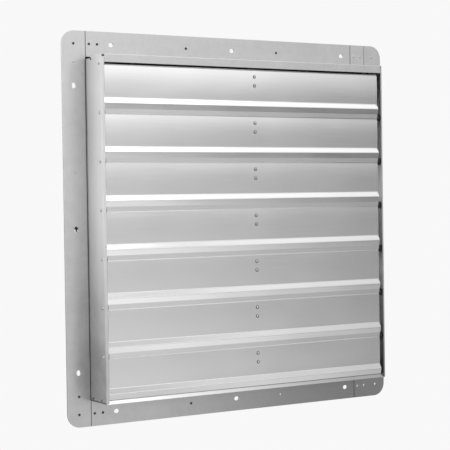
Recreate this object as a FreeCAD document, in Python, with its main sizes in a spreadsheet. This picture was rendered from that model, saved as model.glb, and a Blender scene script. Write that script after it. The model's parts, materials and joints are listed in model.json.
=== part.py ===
import FreeCAD, Part
import Sketcher
import math
import os
import re

# Shutter exhaust fan: louvered shutter box in front of a drilled flange, fan housing behind it.
# Frame: origin at the centre of the flange's front face, front towards -Y, +Z up, +X right from the front.

blade_count = 7
fan_blade_count = 3
motor_arm_count = 4
guard_spoke_count = 16
guard_face_rings = 6
guard_skirt_rings = 3

driving = {
    # box, flange and sheet
    "box_size": 625,
    "flange_margin": 46.5,
    "flange_corner": 25,
    "shutter_depth": 65,
    "housing_depth": 42,
    "frame_sheet": 1.2,
    "left_lip": 5.4,
    "right_lip": 3.4,
    "top_lip": 14.5,
    "sill_height": 8,
    "sill_lean": 5.5,
    "rear_lip": 14,
    "seam_gap": 0.4,
    "flange_seam": 1.2,
    "corner_tab": 29.5,
    "top_relief": 25,
    "bottom_relief": 60,
    "relief_height": 1.8,
    "relief_width": 6,
    # fixing slots and flange rivets
    "slot_width": 8,
    "slot_length": 10.5,
    "slot_inset": 52.5,
    "rivet_diameter": 3.2,
    "rivet_head_diameter": 5,
    "rivet_head_height": 0.8,
    "louver_rivet_head": 6.6,
    "rivet_core_diameter": 1.8,
    "rivet_tail_diameter": 4.6,
    "rivet_tail_length": 1.4,
    "rivet_fit": 0.05,
    "rivet_inset": 210.5,
    "lap_rivet_first": 7.75,
    "lap_rivet_step": 16.5,
    "corner_rivet_drop": 9.5,
    # louver pivots
    "top_pivot_drop": 16.5,
    "lowest_bay_trim": 3.3,
    "pivot_setback": 10,
    "pivot_pin_diameter": 5,
    "pivot_head_diameter": 6.4,
    "pivot_head_height": 1.2,
    "pivot_pin_reach": 15,
    "pivot_fit": 0.05,
    "bushing_diameter": 14,
    "bushing_wall_gap": 0.5,
    "bushing_blade_gap": 0.2,
    "bushing_block_length": 20,
    "bushing_block_height": 12,
    "bushing_block_back": 5,
    # louver blade section, measured from the pivot axis
    "louver_sheet": 0.8,
    "louver_end_gap": 8.5,
    "strip_rise": 9,
    "strip_front": 5,
    "crease_drop": 1,
    "crease_run": 1.5,
    "panel_front": 4,
    "lap_clearance": 6.9,
    "kick_height": 9.5,
    "kick_out": 4.7,
    "lip_height": 10.5,
    "lip_return": 2.4,
    "lowest_trim": 4,
    # crank brackets and tie bar
    "crank_offset": 12.5,
    "crank_in": 24,
    "crank_up": 6,
    "crank_eye": 5.5,
    "bracket_sheet": 1.2,
    "bracket_width": 16,
    "bracket_top": 8,
    "bracket_bottom": 38,
    "bracket_rivet_drop": 14.7,
    "bracket_rivet_step": 16.7,
    "tie_bar_sheet": 2,
    "tie_bar_width": 9,
    "tie_bar_gap": 0.4,
    "tie_pin_diameter": 4,
    "tie_pin_head_diameter": 7,
    "tie_pin_head_height": 1.4,
    "tie_pin_fit": 0.05,
    # orifice panel
    "panel_inset": 3,
    "panel_corner": 12,
    "panel_sheet": 1.2,
    "orifice_margin": 33.5,
    "orifice_length": 33,
    "mouth_bend": 16,
    # hex bolts
    "bolt_diameter": 5,
    "bolt_head_across": 9.2,
    "bolt_head_height": 3.6,
    "bolt_washer_diameter": 13,
    "bolt_washer_height": 1.2,
    "bolt_length": 10,
    "bolt_fit": 0.15,
    "panel_bolt_inset": 8.5,
    "panel_bolt_corner": 112.5,
    # motor and its arms
    "motor_standoff": 40,
    "motor_radius": 62,
    "motor_shell": 3,
    "motor_cap_length": 22,
    "motor_cap_face": 5,
    "motor_shell_length": 82,
    "bearing_radius": 20,
    "bearing_width": 12,
    "bearing_recess": 8,
    "bearing_fit": 0.05,
    "bearing_boss": 6,
    "stator_length": 52,
    "stator_bore": 30.5,
    "stator_notch": 4,
    "core_gap": 1,
    "stud_circle": 56,
    "stud_diameter": 4.6,
    "stud_head_across": 9.2,
    "stud_head_height": 3.5,
    "shaft_diameter": 17,
    "shaft_hole_gap": 1.5,
    "arm_sheet": 4,
    "arm_width": 26,
    "arm_foot_gap": 9,
    "arm_foot_length": 34,
    "arm_foot_bolt": 18,
    "arm_knee_inset": 17,
    "arm_end": 48,
    # fan wheel
    "rotor_setback": 8,
    "tip_gap": 7,
    "hub_radius": 22,
    "hub_length": 44,
    "hub_shaft_proud": 4,
    "spider_reach": 135,
    "spider_width": 44,
    "spider_sheet": 4,
    "fan_pitch_angle": 25,
    "fan_sheet": 1.6,
    "fan_camber_radius": 350,
    "fan_root": 70,
    "fan_root_width": 76,
    "fan_wide_width": 160,
    "fan_wide_setback": 45,
    "fan_tip_width": 120,
    "fan_corner": 18,
    "fan_rivet_first": 86,
    "fan_rivet_step": 19,
    # junction box and gland
    "box_length": 60,
    "box_depth": 44,
    "box_rise": 34,
    "box_wall": 1.5,
    "box_setback": 2,
    "cover_overhang": 1,
    "cover_sheet": 1.5,
    "seat_gap": 0.1,
    "gland_across": 20,
    "gland_nut_length": 6,
    "gland_dome_diameter": 16,
    "gland_dome_length": 10,
    "gland_bore_diameter": 7,
    # wire guard
    "guard_wire": 4,
    "guard_base_gap": 5,
    "guard_foot": 14,
    "guard_lean": 38,
    "guard_rise": 88,
    "guard_inner_ring": 90,
    "guard_outer_gap": 32,
    "guard_skirt_first": 22,
    "guard_skirt_pitch": 22,
    "guard_base_bend": 5,
    "guard_shoulder_bend": 14,
    "guard_weld_gap": 0.1,
    "guard_bolt_reach": 9,
    # cord clip in the middle left slot
    "clip_bar_width": 6,
    "clip_bar_height": 3.2,
    "clip_stem_width": 2.6,
    "clip_stem_height": 5,
    "clip_proud": 0.9,
    "clip_plate": 2,
    "clip_plate_height": 18,
    "clip_loop_radius": 5,
    "clip_loop_wall": 1.6,
    "clip_loop_width": 8,
}

doc = FreeCAD.newDocument("shutter_exhaust_fan")
sizes = doc.addObject("Spreadsheet::Sheet", "sizes")
for row, (alias, number) in enumerate(driving.items(), 1):
    sizes.set(f"A{row}", alias)
    sizes.set(f"B{row}", str(number))
    sizes.setAlias(f"B{row}", alias)
doc.recompute()

nodes = {}
axis_turn = {
    "X": FreeCAD.Rotation(FreeCAD.Vector(0, 1, 0), 90),
    "Y": FreeCAD.Rotation(FreeCAD.Vector(1, 0, 0), -90),
    "Z": FreeCAD.Rotation(),
}
up = FreeCAD.Vector(0, 0, 1)


# Helpers: every length is an expression on the sheet's aliases
def tied(text):
    return re.sub(r"[a-z][a-z_]*", lambda word: f"sizes.{word[0]}" if word[0] in driving else word[0], text)


def amount(text):
    return float(sizes.evalExpression(tied(text)))


def side_span(sign, inner, outer):
    return (inner, outer) if sign > 0 else (f"-({outer})", f"-({inner})")


def node(label, obj):
    obj.Label = label
    nodes[label] = obj
    return obj


def block(name, x, y, z):
    obj = doc.addObject("Part::Box", name)
    for prop, base, (low, high) in (("Length", "x", x), ("Width", "y", y), ("Height", "z", z)):
        obj.setExpression(prop, tied(f"({high}) - ({low})"))
        obj.setExpression(f"Placement.Base.{base}", tied(low))
    return obj


def rod(name, radius, along, start, end, across):
    obj = doc.addObject("Part::Cylinder", name)
    obj.Placement = FreeCAD.Placement(FreeCAD.Vector(), axis_turn[along])
    obj.setExpression("Radius", tied(radius))
    obj.setExpression("Height", tied(f"({end}) - ({start})"))
    others = [base for base in "xyz" if base != along.lower()]
    for base, text in zip([along.lower()] + others, [start] + list(across)):
        obj.setExpression(f"Placement.Base.{base}", tied(text))
    return obj


def hex_rod(name, across_corners, start, end):
    obj = doc.addObject("Part::Prism", name)
    obj.Polygon = 6
    obj.Placement = FreeCAD.Placement(FreeCAD.Vector(), axis_turn["Y"])
    obj.setExpression("Circumradius", tied(f"({across_corners}) / 2"))
    obj.setExpression("Height", tied(f"({end}) - ({start})"))
    obj.setExpression("Placement.Base.y", tied(start))
    return obj


def many(kind, name, members):
    obj = doc.addObject(kind, name)
    if kind == "Part::Compound":
        obj.Links = members
    else:
        obj.Shapes = members
    return obj


def joined(name, members):
    return many("Part::MultiFuse", name, members)


def cut(name, base, tools):
    obj = doc.addObject("Part::Cut", name)
    obj.Base = base
    obj.Tool = tools[0] if len(tools) == 1 else many("Part::Compound", f"{name}_tools", tools)
    return obj


def outline_sketch(body, role, outline):
    # Each corner is (x, y), or (x, y, radius, centre x, centre y) where an arc runs on to the next corner
    sketch = body.newObject("Sketcher::SketchObject", "outline")
    plane = [feature for feature in body.Origin.OriginFeatures if feature.Role == role][0]
    sketch.AttachmentSupport = [(plane, "")]
    sketch.MapMode = "FlatFace"
    spots = [FreeCAD.Vector(amount(corner[0]), amount(corner[1]), 0) for corner in outline]
    ends = []
    for index, corner in enumerate(outline):
        here, there = spots[index], spots[(index + 1) % len(spots)]
        if len(corner) == 2:
            sketch.addGeometry(Part.LineSegment(here, there), False)
            ends.append((1, 2))
            continue
        centre = FreeCAD.Vector(amount(corner[3]), amount(corner[4]), 0)
        turn = (here - centre).cross(there - centre).z
        first, last = (here, there) if turn > 0 else (there, here)
        angles = [math.atan2(spot.y - centre.y, spot.x - centre.x) for spot in (first, last)]
        circle = Part.Circle(centre, up, amount(corner[2]))
        sketch.addGeometry(Part.ArcOfCircle(circle, angles[0], angles[1]), False)
        ends.append((1, 2) if turn > 0 else (2, 1))
    for index in range(len(outline)):
        following = (index + 1) % len(outline)
        joint = Sketcher.Constraint("Coincident", index, ends[index][1], following, ends[following][0])
        sketch.addConstraint(joint)
    for index, corner in enumerate(outline):
        for kind, text in (("DistanceX", corner[0]), ("DistanceY", corner[1])):
            size = Sketcher.Constraint(kind, -1, 1, index, ends[index][0], amount(text))
            sketch.setExpression(f"Constraints[{sketch.addConstraint(size)}]", tied(text))
        if len(corner) > 2:
            size = Sketcher.Constraint("Radius", index, amount(corner[2]))
            sketch.setExpression(f"Constraints[{sketch.addConstraint(size)}]", tied(corner[2]))
    return sketch


def padded(name, role, outline, start, end):
    # The pad runs along +X from the YZ plane, +Z from the XY plane and -Y from the XZ plane
    body = doc.addObject("PartDesign::Body", name)
    sketch = outline_sketch(body, role, outline)
    sketch.setExpression("AttachmentOffset.Base.z", tied(start))
    pad = body.newObject("PartDesign::Pad", "pad")
    pad.Profile = sketch
    pad.setExpression("Length", tied(f"({end}) - ({start})"))
    doc.recompute()
    return body


def rounded(body, corners, radius):
    # Rounds the pad's edges that run through the given (x, z) corners along Y, or (x, y) corners along Z
    base = body.Tip
    upright = base.Profile[0].Placement.Rotation.Axis.x > 0.5
    flat = (lambda p: (p.x, p.z)) if upright else (lambda p: (p.x, p.y))
    wanted = [(amount(first), amount(second)) for first, second in corners]
    picked = []
    for index, edge in enumerate(base.Shape.Edges, 1):
        spots = [flat(vertex.Point) for vertex in edge.Vertexes]
        if any(all(math.dist(spot, corner) < 0.001 for spot in spots) for corner in wanted):
            picked.append(f"Edge{index}")
    fillet = body.newObject("PartDesign::Fillet", "corners")
    fillet.Base = (base, picked)
    fillet.setExpression("Radius", tied(radius))
    doc.recompute()
    return body


def turned(name, outline):
    # Turned about the Y axis: corners are (radius, y)
    body = doc.addObject("PartDesign::Body", name)
    sketch = outline_sketch(body, "XY_Plane", outline)
    turn = body.newObject("PartDesign::Revolution", "turn")
    turn.Profile = sketch
    turn.ReferenceAxis = (sketch, ["V_Axis"])
    turn.Angle = 360
    doc.recompute()
    return body


def group(label, shapes):
    obj = doc.addObject("Part::Feature", label)
    obj.Shape = Part.makeCompound(shapes)
    return node(label, obj)


def placed(obj, base, rotation=FreeCAD.Rotation()):
    shape = obj.Shape.copy()
    shape.Placement = FreeCAD.Placement(FreeCAD.Vector(*base), rotation).multiply(shape.Placement)
    return shape


def spun(shape, degrees):
    copy = shape.copy()
    turn = FreeCAD.Placement(FreeCAD.Vector(), FreeCAD.Rotation(FreeCAD.Vector(0, 1, 0), degrees))
    copy.Placement = turn.multiply(copy.Placement)
    return copy


def blind_rivet(name, grip, head_diameter="rivet_head_diameter"):
    # Head on the -Y side of y = 0, tail behind the grip, punched core in the head
    shank, core, tail = (f"rivet_{part}diameter / 2" for part in ("", "core_", "tail_"))
    head = f"{head_diameter} / 2"
    core_end = f"({grip}) / 2"
    return turned(name, [
        ("0", core_end), (core, core_end), (core, "-rivet_head_height"), (head, "-rivet_head_height"),
        (head, "0"), (shank, "0"), (shank, grip), (tail, grip),
        (tail, f"({grip}) + rivet_tail_length"), ("0", f"({grip}) + rivet_tail_length")])


# Places that several pieces share
half_box = "box_size / 2"
flange_half = "(box_size / 2 + flange_margin)"
hole_line = "(box_size / 2 + flange_margin / 2)"
inner_half = "(box_size / 2 - frame_sheet)"
slot_reach = "(box_size / 2 - slot_inset)"
rivet_reach = "(box_size / 2 - rivet_inset)"
panel_bolt_reach = "(box_size / 2 - panel_bolt_corner)"
foot_back = "2 * frame_sheet"
front = "-shutter_depth"
pivot_y = "(pivot_setback - shutter_depth)"
louver_half = "(box_size / 2 - louver_end_gap)"
panel_back = "(housing_depth + panel_sheet)"
rotor_plane = "(housing_depth - rotor_setback)"
motor_start = "(housing_depth + motor_standoff)"
guard_face = "(housing_depth + guard_rise)"
orifice_radius = "(box_size / 2 - orifice_margin)"
mouth_radius = "(box_size / 2 - orifice_margin + mouth_bend)"
rotor_radius = "(box_size / 2 - orifice_margin - tip_gap)"
arm_foot_start = f"({mouth_radius} + arm_foot_gap)"
arm_knee = f"({orifice_radius} - arm_knee_inset)"
guard_base = f"({mouth_radius} + guard_base_gap)"
guard_shoulder = f"({guard_base} - guard_lean)"
guard_ring_pitch = f"(({guard_shoulder} - guard_outer_gap - guard_inner_ring) / {guard_face_rings - 1})"
pivot_pitch = f"((box_size - top_pivot_drop + lowest_bay_trim) / {blade_count})"
panel_drop = f"({pivot_pitch} - lap_clearance - kick_height - lip_height)"
shaft_radius = "shaft_diameter / 2"
motor_shell_start = f"({motor_start} + motor_cap_length)"
motor_shell_end = f"({motor_start} + motor_cap_length + motor_shell_length)"
motor_end = f"({motor_start} + 2 * motor_cap_length + motor_shell_length)"
motor_bore = "(motor_radius - motor_shell)"


def pivot_z(index):
    return f"(box_size / 2 - top_pivot_drop - {index} * {pivot_pitch})"


# Holes through both flange layers: fixing slots and rivets
def fixing_slot(name, x, z, along):
    straight = "(slot_length - slot_width) / 2"
    across = "slot_width / 2"
    dx, dz = (straight, across) if along == "X" else (across, straight)
    through = ("-frame_sheet", "3 * frame_sheet")
    bar = block(f"{name}_bar", (f"{x} - {dx}", f"{x} + {dx}"), through, (f"{z} - {dz}", f"{z} + {dz}"))
    rounds = []
    for sign in ("-", "+"):
        spot = (f"{x} {sign} {straight}", z) if along == "X" else (x, f"{z} {sign} {straight}")
        rounds.append(rod(f"{name}_end", across, "Y", *through, spot))
    return joined(name, [bar] + rounds)


slot_tools = []
for place in (f"-{slot_reach}", "0", slot_reach):
    for sign in ("-", ""):
        slot_tools.append(fixing_slot("row_slot", place, f"{sign}{hole_line}", "X"))
        slot_tools.append(fixing_slot("column_slot", f"{sign}{hole_line}", place, "Z"))

left_seam = f"-{half_box}"
right_seam = f"({half_box} - corner_tab)"
rivet_spots = []
for sign_x in ("-", ""):
    rivet_spots += [(f"{sign_x}{hole_line}", f"-{rivet_reach}"), (f"{sign_x}{hole_line}", rivet_reach)]
for sign_z in ("-", ""):
    rivet_spots += [(f"-{rivet_reach}", f"{sign_z}{hole_line}"), (rivet_reach, f"{sign_z}{hole_line}")]
    for sign_x in ("-", ""):
        rivet_spots.append((f"{sign_x}{hole_line}", f"{sign_z}{hole_line}"))
        rivet_spots.append((f"{sign_x}{hole_line}", f"{sign_z}({half_box} - corner_rivet_drop)"))
    for seam in (left_seam, right_seam):
        rivet_spots.append((f"{seam} + lap_rivet_first", f"{sign_z}{hole_line}"))
        rivet_spots.append((f"{seam} + lap_rivet_first + lap_rivet_step", f"{sign_z}{hole_line}"))
rivet_hole = "rivet_diameter / 2 + rivet_fit"
rivet_tools = [
    rod("rivet_hole", rivet_hole, "Y", "-frame_sheet", "3 * frame_sheet", spot) for spot in rivet_spots]
flange_holes = many("Part::Compound", "flange_holes", slot_tools + rivet_tools)

# Holes for the pivot pins through both side walls
pin_hole = "pivot_pin_diameter / 2 + pivot_fit"
pin_reach = (f"{half_box} - 2 * frame_sheet", f"{half_box} + frame_sheet")
pin_spans = [side_span(side, *pin_reach) for side in (-1, 1)]
pin_holes = many("Part::Compound", "pin_holes", [
    rod("pin_hole", pin_hole, "X", *span, (pivot_y, pivot_z(index)))
    for index in range(blade_count) for span in pin_spans])

# Relief cuts where the side walls meet the top and bottom walls
corner_reliefs = many("Part::Compound", "corner_reliefs", [
    block("corner_relief", side_span(side, f"{half_box} - relief_width", half_box), (f"-{length}", "0"),
          side_span(end, f"{half_box} - relief_height", half_box))
    for end, length in ((1, "top_relief"), (-1, "bottom_relief")) for side in (-1, 1)])


# Shutter frame, front layer
def side_frame(label, sign):
    mark = "" if sign > 0 else "-"
    outer = f"{mark}{flange_half}"
    wall_face = f"{mark}{half_box}"
    if sign > 0:
        tab = right_seam
        outline = [
            (tab, flange_half), (outer, flange_half), (outer, f"-{flange_half}"), (tab, f"-{flange_half}"),
            (tab, f"-{half_box}"), (wall_face, f"-{half_box}"), (wall_face, half_box), (tab, half_box)]
    else:
        outline = [(outer, flange_half), (wall_face, flange_half),
                   (wall_face, f"-{flange_half}"), (outer, f"-{flange_half}")]
    flange = padded(f"{label}_flange", "XZ_Plane", outline, "-frame_sheet", "0")
    rounded(flange, [(outer, flange_half), (outer, f"-{flange_half}")], "flange_corner")
    tall = (f"-{half_box}", half_box)
    wall = block(f"{label}_wall", side_span(sign, inner_half, half_box), (front, "frame_sheet"), tall)
    lip_tall = (f"seam_gap - {inner_half}", f"{inner_half} - seam_gap")
    lip_depth = (front, f"{front} + frame_sheet")
    lip_width = "right_lip" if sign > 0 else "left_lip"
    lip = block(f"{label}_lip", side_span(sign, f"{half_box} - {lip_width}", half_box), lip_depth, lip_tall)
    blank = joined(f"{label}_blank", [flange, wall, lip])
    return node(label, cut(label, blank, [flange_holes, pin_holes, corner_reliefs]))


def cross_frame(label, sign, lip_height, lean):
    start = f"{left_seam} + flange_seam"
    end = f"{right_seam} - flange_seam"
    low, high = side_span(sign, half_box, flange_half)
    flange = block(f"{label}_flange", (start, end), ("0", "frame_sheet"), (low, high))
    reach = f"({inner_half} - seam_gap)"
    wall_span = side_span(sign, inner_half, half_box)
    wall = block(f"{label}_wall", (f"-{reach}", reach), (front, "frame_sheet"), wall_span)
    mark = "" if sign > 0 else "-"
    root, tip = f"{mark}{half_box}", f"{mark}({half_box} - {lip_height})"
    lip_face = [(front, root), (f"{front} + {lean}", tip)]
    lip_outline = lip_face + [(f"{y} + frame_sheet", z) for y, z in reversed(lip_face)]
    lip_start, lip_end = f"-({half_box} - left_lip - seam_gap)", f"({half_box} - right_lip - seam_gap)"
    lip = padded(f"{label}_lip", "YZ_Plane", lip_outline, lip_start, lip_end)
    blank = joined(f"{label}_blank", [flange, wall, lip])
    return node(label, cut(label, blank, [flange_holes, corner_reliefs]))


side_frame("side_frame_left", -1)
side_frame("side_frame_right", 1)
cross_frame("top_frame", 1, "top_lip", "0")
cross_frame("bottom_frame", -1, "sill_height", "sill_lean")

# Bolts that hold the orifice panel on the housing's rear lips
bolt_hole = "bolt_diameter / 2 + bolt_fit"
bolt_line = f"({half_box} - panel_bolt_inset)"
panel_bolt_spots = []
for sign_a in ("-", ""):
    for sign_b in ("-", ""):
        panel_bolt_spots.append((f"{sign_a}{bolt_line}", f"{sign_b}{panel_bolt_reach}"))
        panel_bolt_spots.append((f"{sign_a}{panel_bolt_reach}", f"{sign_b}{bolt_line}"))
lip_bolt_span = ("housing_depth - 2 * frame_sheet", f"{panel_back} + frame_sheet")
panel_bolt_holes = many("Part::Compound", "panel_bolt_holes", [
    rod("panel_bolt_hole", bolt_hole, "Y", *lip_bolt_span, spot) for spot in panel_bolt_spots])


# Fan housing, rear layer
def housing_side(label, sign):
    foot_reach = f"({half_box} - seam_gap)"
    foot_tall = (f"-{foot_reach}", foot_reach)
    tall = (f"-{half_box}", half_box)
    lip_depth = ("housing_depth - frame_sheet", "housing_depth")
    foot_span = side_span(sign, half_box, flange_half)
    foot = block(f"{label}_foot", foot_span, ("frame_sheet", foot_back), foot_tall)
    wall_span = side_span(sign, inner_half, half_box)
    wall = block(f"{label}_wall", wall_span, ("frame_sheet", "housing_depth"), tall)
    lip_tall = (f"seam_gap - {inner_half}", f"{inner_half} - seam_gap")
    lip = block(f"{label}_lip", side_span(sign, f"{half_box} - rear_lip", half_box), lip_depth, lip_tall)
    blank = joined(f"{label}_blank", [foot, wall, lip])
    return node(label, cut(label, blank, [flange_holes, panel_bolt_holes]))


def housing_cross(label, sign):
    mark = "" if sign > 0 else "-"
    outer = f"{mark}{flange_half}"
    inner = f"{mark}{half_box}"
    outline = [(f"-{flange_half}", outer), (flange_half, outer),
               (flange_half, inner), (f"-{flange_half}", inner)]
    foot = padded(f"{label}_foot", "XZ_Plane", outline, f"-{foot_back}", "-frame_sheet")
    rounded(foot, [(f"-{flange_half}", outer), (flange_half, outer)], "flange_corner")
    reach = f"({inner_half} - seam_gap)"
    wall_depth = ("frame_sheet", "housing_depth")
    wall = block(f"{label}_wall", (f"-{reach}", reach), wall_depth, side_span(sign, inner_half, half_box))
    lip_reach = f"({half_box} - rear_lip - seam_gap)"
    lip_depth = ("housing_depth - frame_sheet", "housing_depth")
    lip_span = side_span(sign, f"{half_box} - rear_lip", half_box)
    lip = block(f"{label}_lip", (f"-{lip_reach}", lip_reach), lip_depth, lip_span)
    blank = joined(f"{label}_blank", [foot, wall, lip])
    return node(label, cut(label, blank, [flange_holes, panel_bolt_holes]))


housing_side("housing_left", -1)
housing_side("housing_right", 1)
housing_cross("housing_top", 1)
housing_cross("housing_bottom", -1)

# Orifice panel with its bell mouth, and the places where arms and guard are bolted on it
panel_half = f"({half_box} - panel_inset)"
panel_corners = [(f"-{panel_half}", panel_half), (panel_half, panel_half),
                 (panel_half, f"-{panel_half}"), (f"-{panel_half}", f"-{panel_half}")]
panel_plate = padded("panel_plate", "XZ_Plane", panel_corners, f"-{panel_back}", "-housing_depth")
rounded(panel_plate, panel_corners, "panel_corner")
mouth_hole = rod("mouth_hole", mouth_radius, "Y", "0", f"2 * {panel_back}", ("0", "0"))
throat_end = f"({panel_back} - mouth_bend)"
throat_front = f"({panel_back} - orifice_length)"
throat_outer = f"({orifice_radius} + panel_sheet)"
bell_mouth = turned("bell_mouth", [
    (orifice_radius, throat_front),
    (orifice_radius, throat_end, "mouth_bend", mouth_radius, throat_end),
    (mouth_radius, panel_back),
    (mouth_radius, "housing_depth", "mouth_bend - panel_sheet", mouth_radius, throat_end),
    (throat_outer, throat_end),
    (throat_outer, throat_front)])

arm_foot_end = f"({arm_foot_start} + arm_foot_length)"
arm_bolt_radius = f"({arm_foot_start} + arm_foot_bolt)"
arm_angles = [45 + 360 / motor_arm_count * index for index in range(motor_arm_count)]
spoke_angles = [360 / guard_spoke_count * (index + 0.5) for index in range(guard_spoke_count)]
clamped_angles = [angle for index, angle in enumerate(spoke_angles) if index % 4 in (1, 2)]
guard_bolt_radius = f"({guard_base} + guard_bolt_reach)"
guard_bolt_shift = "(guard_wire / 2 + bolt_diameter / 2 + bolt_fit)"


def around(radius, degrees, shift="0"):
    # (x, z) at a radius on a spoke's line, moved sideways by the shift
    c, s = math.cos(math.radians(degrees)), math.sin(math.radians(degrees))
    return f"({radius}) * {c:.9f} + ({shift}) * {s:.9f}", f"({shift}) * {c:.9f} - ({radius}) * {s:.9f}"


arm_bolt_spots = [around(arm_bolt_radius, angle) for angle in arm_angles]
guard_bolt_spots = [around(guard_bolt_radius, angle, guard_bolt_shift) for angle in clamped_angles]
panel_tools = [panel_bolt_holes] + [
    rod("panel_hole", bolt_hole, "Y", *lip_bolt_span, spot) for spot in arm_bolt_spots + guard_bolt_spots]
plate_holed = cut("plate_holed", panel_plate, [mouth_hole] + panel_tools)
node("orifice_panel", joined("orifice_panel", [plate_holed, bell_mouth]))

# Flange rivets and pivot pins
flange_rivet = blind_rivet("flange_rivet", foot_back)
doc.recompute()
group("flange_rivets", [placed(flange_rivet, (amount(x), 0, amount(z))) for x, z in rivet_spots])

pin_radius = "pivot_pin_diameter / 2"
pin_inner_end = "(frame_sheet + pivot_pin_reach)"
pivot_pin = turned("pivot_pin", [
    ("0", "-pivot_head_height"), ("pivot_head_diameter / 2", "-pivot_head_height"),
    ("pivot_head_diameter / 2", "0"), (pin_radius, "0"), (pin_radius, pin_inner_end), ("0", pin_inner_end)])
inwards = {-1: FreeCAD.Rotation(up, -90), 1: FreeCAD.Rotation(up, 90)}
group("pivot_pins", [
    placed(pivot_pin, (side * amount(half_box), amount(pivot_y), amount(pivot_z(index))), inwards[side])
    for side in (-1, 1) for index in range(blade_count)])


# Louvers: blade, crank bracket, its two rivets, and the end bushings
def out_y(distance):
    return f"{pivot_y} - ({distance})"


def louver(index):
    number = index + 1
    axis_z = pivot_z(index)
    drop = f"({panel_drop} - lowest_trim)" if number == blade_count else panel_drop
    strip = [("strip_front", "strip_rise")] if index else []  # the top louver has none above to lap with
    face = strip + [
        ("strip_front", "-crease_drop"),
        ("panel_front", "-(crease_drop + crease_run)"), ("panel_front", f"-({drop})"),
        ("panel_front + kick_out", f"-({drop} + kick_height)"),
        ("panel_front + kick_out - lip_return", f"-({drop} + kick_height + lip_height)")]
    outline = [(out_y(v), f"{axis_z} + {w}") for v, w in face]
    outline += [(out_y(f"{v} - louver_sheet"), f"{axis_z} + {w}") for v, w in reversed(face)]
    sheet = padded(f"louver_sheet_{number}", "YZ_Plane", outline, f"-{louver_half}", louver_half)

    drops = ["bracket_rivet_drop", "(bracket_rivet_drop + bracket_rivet_step)"]
    spots = [("crank_offset", f"{axis_z} - {drop_text}") for drop_text in drops]
    seat = "(panel_front - louver_sheet)"
    span = (out_y("panel_front + louver_sheet"), out_y(f"{seat} - 2 * bracket_sheet"))
    holes = [rod("louver_rivet_hole", rivet_hole, "Y", *span, spot) for spot in spots]
    node(f"louver_blade_{number}", cut(f"louver_blade_{number}", sheet, holes))

    left, right = "(crank_offset - bracket_width / 2)", "(crank_offset + bracket_width / 2)"
    base_z = (f"{axis_z} - bracket_bottom", f"{axis_z} - bracket_top")
    base = block("bracket_base", (left, right), (out_y(seat), out_y(f"{seat} - bracket_sheet")), base_z)
    eye_near, eye_far = "(crank_eye - crank_in)", "(-crank_in - crank_eye)"
    eye_top, eye_low = f"{axis_z} + crank_up + crank_eye", f"{axis_z} + crank_up - crank_eye"
    arm_outline = [(out_y(seat), base_z[1]), (out_y(eye_near), eye_top), (out_y(eye_far), eye_top),
                   (out_y(eye_far), eye_low), (out_y(seat), base_z[0])]
    arm = padded(f"bracket_arm_{number}", "YZ_Plane", arm_outline, f"{right} - bracket_sheet", right)
    eye_hole = rod("eye_hole", "tie_pin_diameter / 2 + tie_pin_fit", "X", left, f"{right} + bracket_sheet",
                   (out_y("-crank_in"), f"{axis_z} + crank_up"))
    bracket = cut(f"louver_bracket_{number}", joined("bracket_blank", [base, arm]), holes + [eye_hole])
    node(f"louver_bracket_{number}", bracket)

    group(f"louver_rivets_{number}", [
        placed(louver_rivet, (amount(x), amount(out_y("panel_front")), amount(z))) for x, z in spots])

    ends = []
    for side in (-1, 1):
        disc_span = side_span(side, f"{louver_half} + bushing_blade_gap", f"{inner_half} - bushing_wall_gap")
        disc = rod("bushing_disc", "bushing_diameter / 2", "X", *disc_span, (pivot_y, axis_z))
        stretch = side_span(side, f"{louver_half} - bushing_block_length",
                            f"{louver_half} + bushing_blade_gap")
        depth = (out_y(seat), out_y("-bushing_block_back"))
        tall = (f"{axis_z} - bushing_block_height / 2", f"{axis_z} + bushing_block_height / 2")
        grip = block("bushing_block", stretch, depth, tall)
        bore_span = side_span(side, f"{inner_half} - pivot_pin_reach - bushing_wall_gap", inner_half)
        bore = rod("bushing_bore", pin_hole, "X", *bore_span, (pivot_y, axis_z))
        ends.append(cut("bushing", joined("bushing_blank", [disc, grip]), [bore]))
    node(f"louver_bushings_{number}", many("Part::Compound", f"louver_bushings_{number}", ends))


louver_rivet = blind_rivet("louver_rivet", "louver_sheet + bracket_sheet", "louver_rivet_head")
for index in range(blade_count):
    louver(index)

# Tie bar behind the louvers, and its pins through the bracket eyes
bar_start = "(crank_offset + bracket_width / 2 + tie_bar_gap)"
bar_end = f"({bar_start} + tie_bar_sheet)"
bar_depth = (out_y("tie_bar_width / 2 - crank_in"), out_y("-tie_bar_width / 2 - crank_in"))
bar_tall = (f"{pivot_z(blade_count - 1)} + crank_up - crank_eye", f"{pivot_z(0)} + crank_up + crank_eye")
bar_blank = block("tie_bar_blank", (bar_start, bar_end), bar_depth, bar_tall)
bar_holes = [rod("tie_hole", "tie_pin_diameter / 2 + tie_pin_fit", "X", f"{bar_start} - tie_bar_sheet",
                 f"{bar_end} + tie_bar_sheet", (out_y("-crank_in"), f"{pivot_z(index)} + crank_up"))
             for index in range(blade_count)]
node("tie_bar", cut("tie_bar", bar_blank, bar_holes))

tie_radius, tie_head = "tie_pin_diameter / 2", "tie_pin_head_diameter / 2"
tie_grip = "(tie_bar_sheet + 2 * tie_bar_gap + bracket_sheet)"
tie_pin = turned("tie_pin", [
    ("0", "-tie_pin_head_height"), (tie_head, "-tie_pin_head_height"), (tie_head, "0"), (tie_radius, "0"),
    (tie_radius, tie_grip), (tie_head, tie_grip),
    (tie_head, f"{tie_grip} + tie_pin_head_height"), ("0", f"{tie_grip} + tie_pin_head_height")])
pin_heights = [amount(f"{pivot_z(index)} + crank_up") for index in range(blade_count)]
pin_depth = amount(out_y("-crank_in"))
group("tie_pins", [
    placed(tie_pin, (amount(bar_end), pin_depth, height), inwards[1]) for height in pin_heights])

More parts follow.
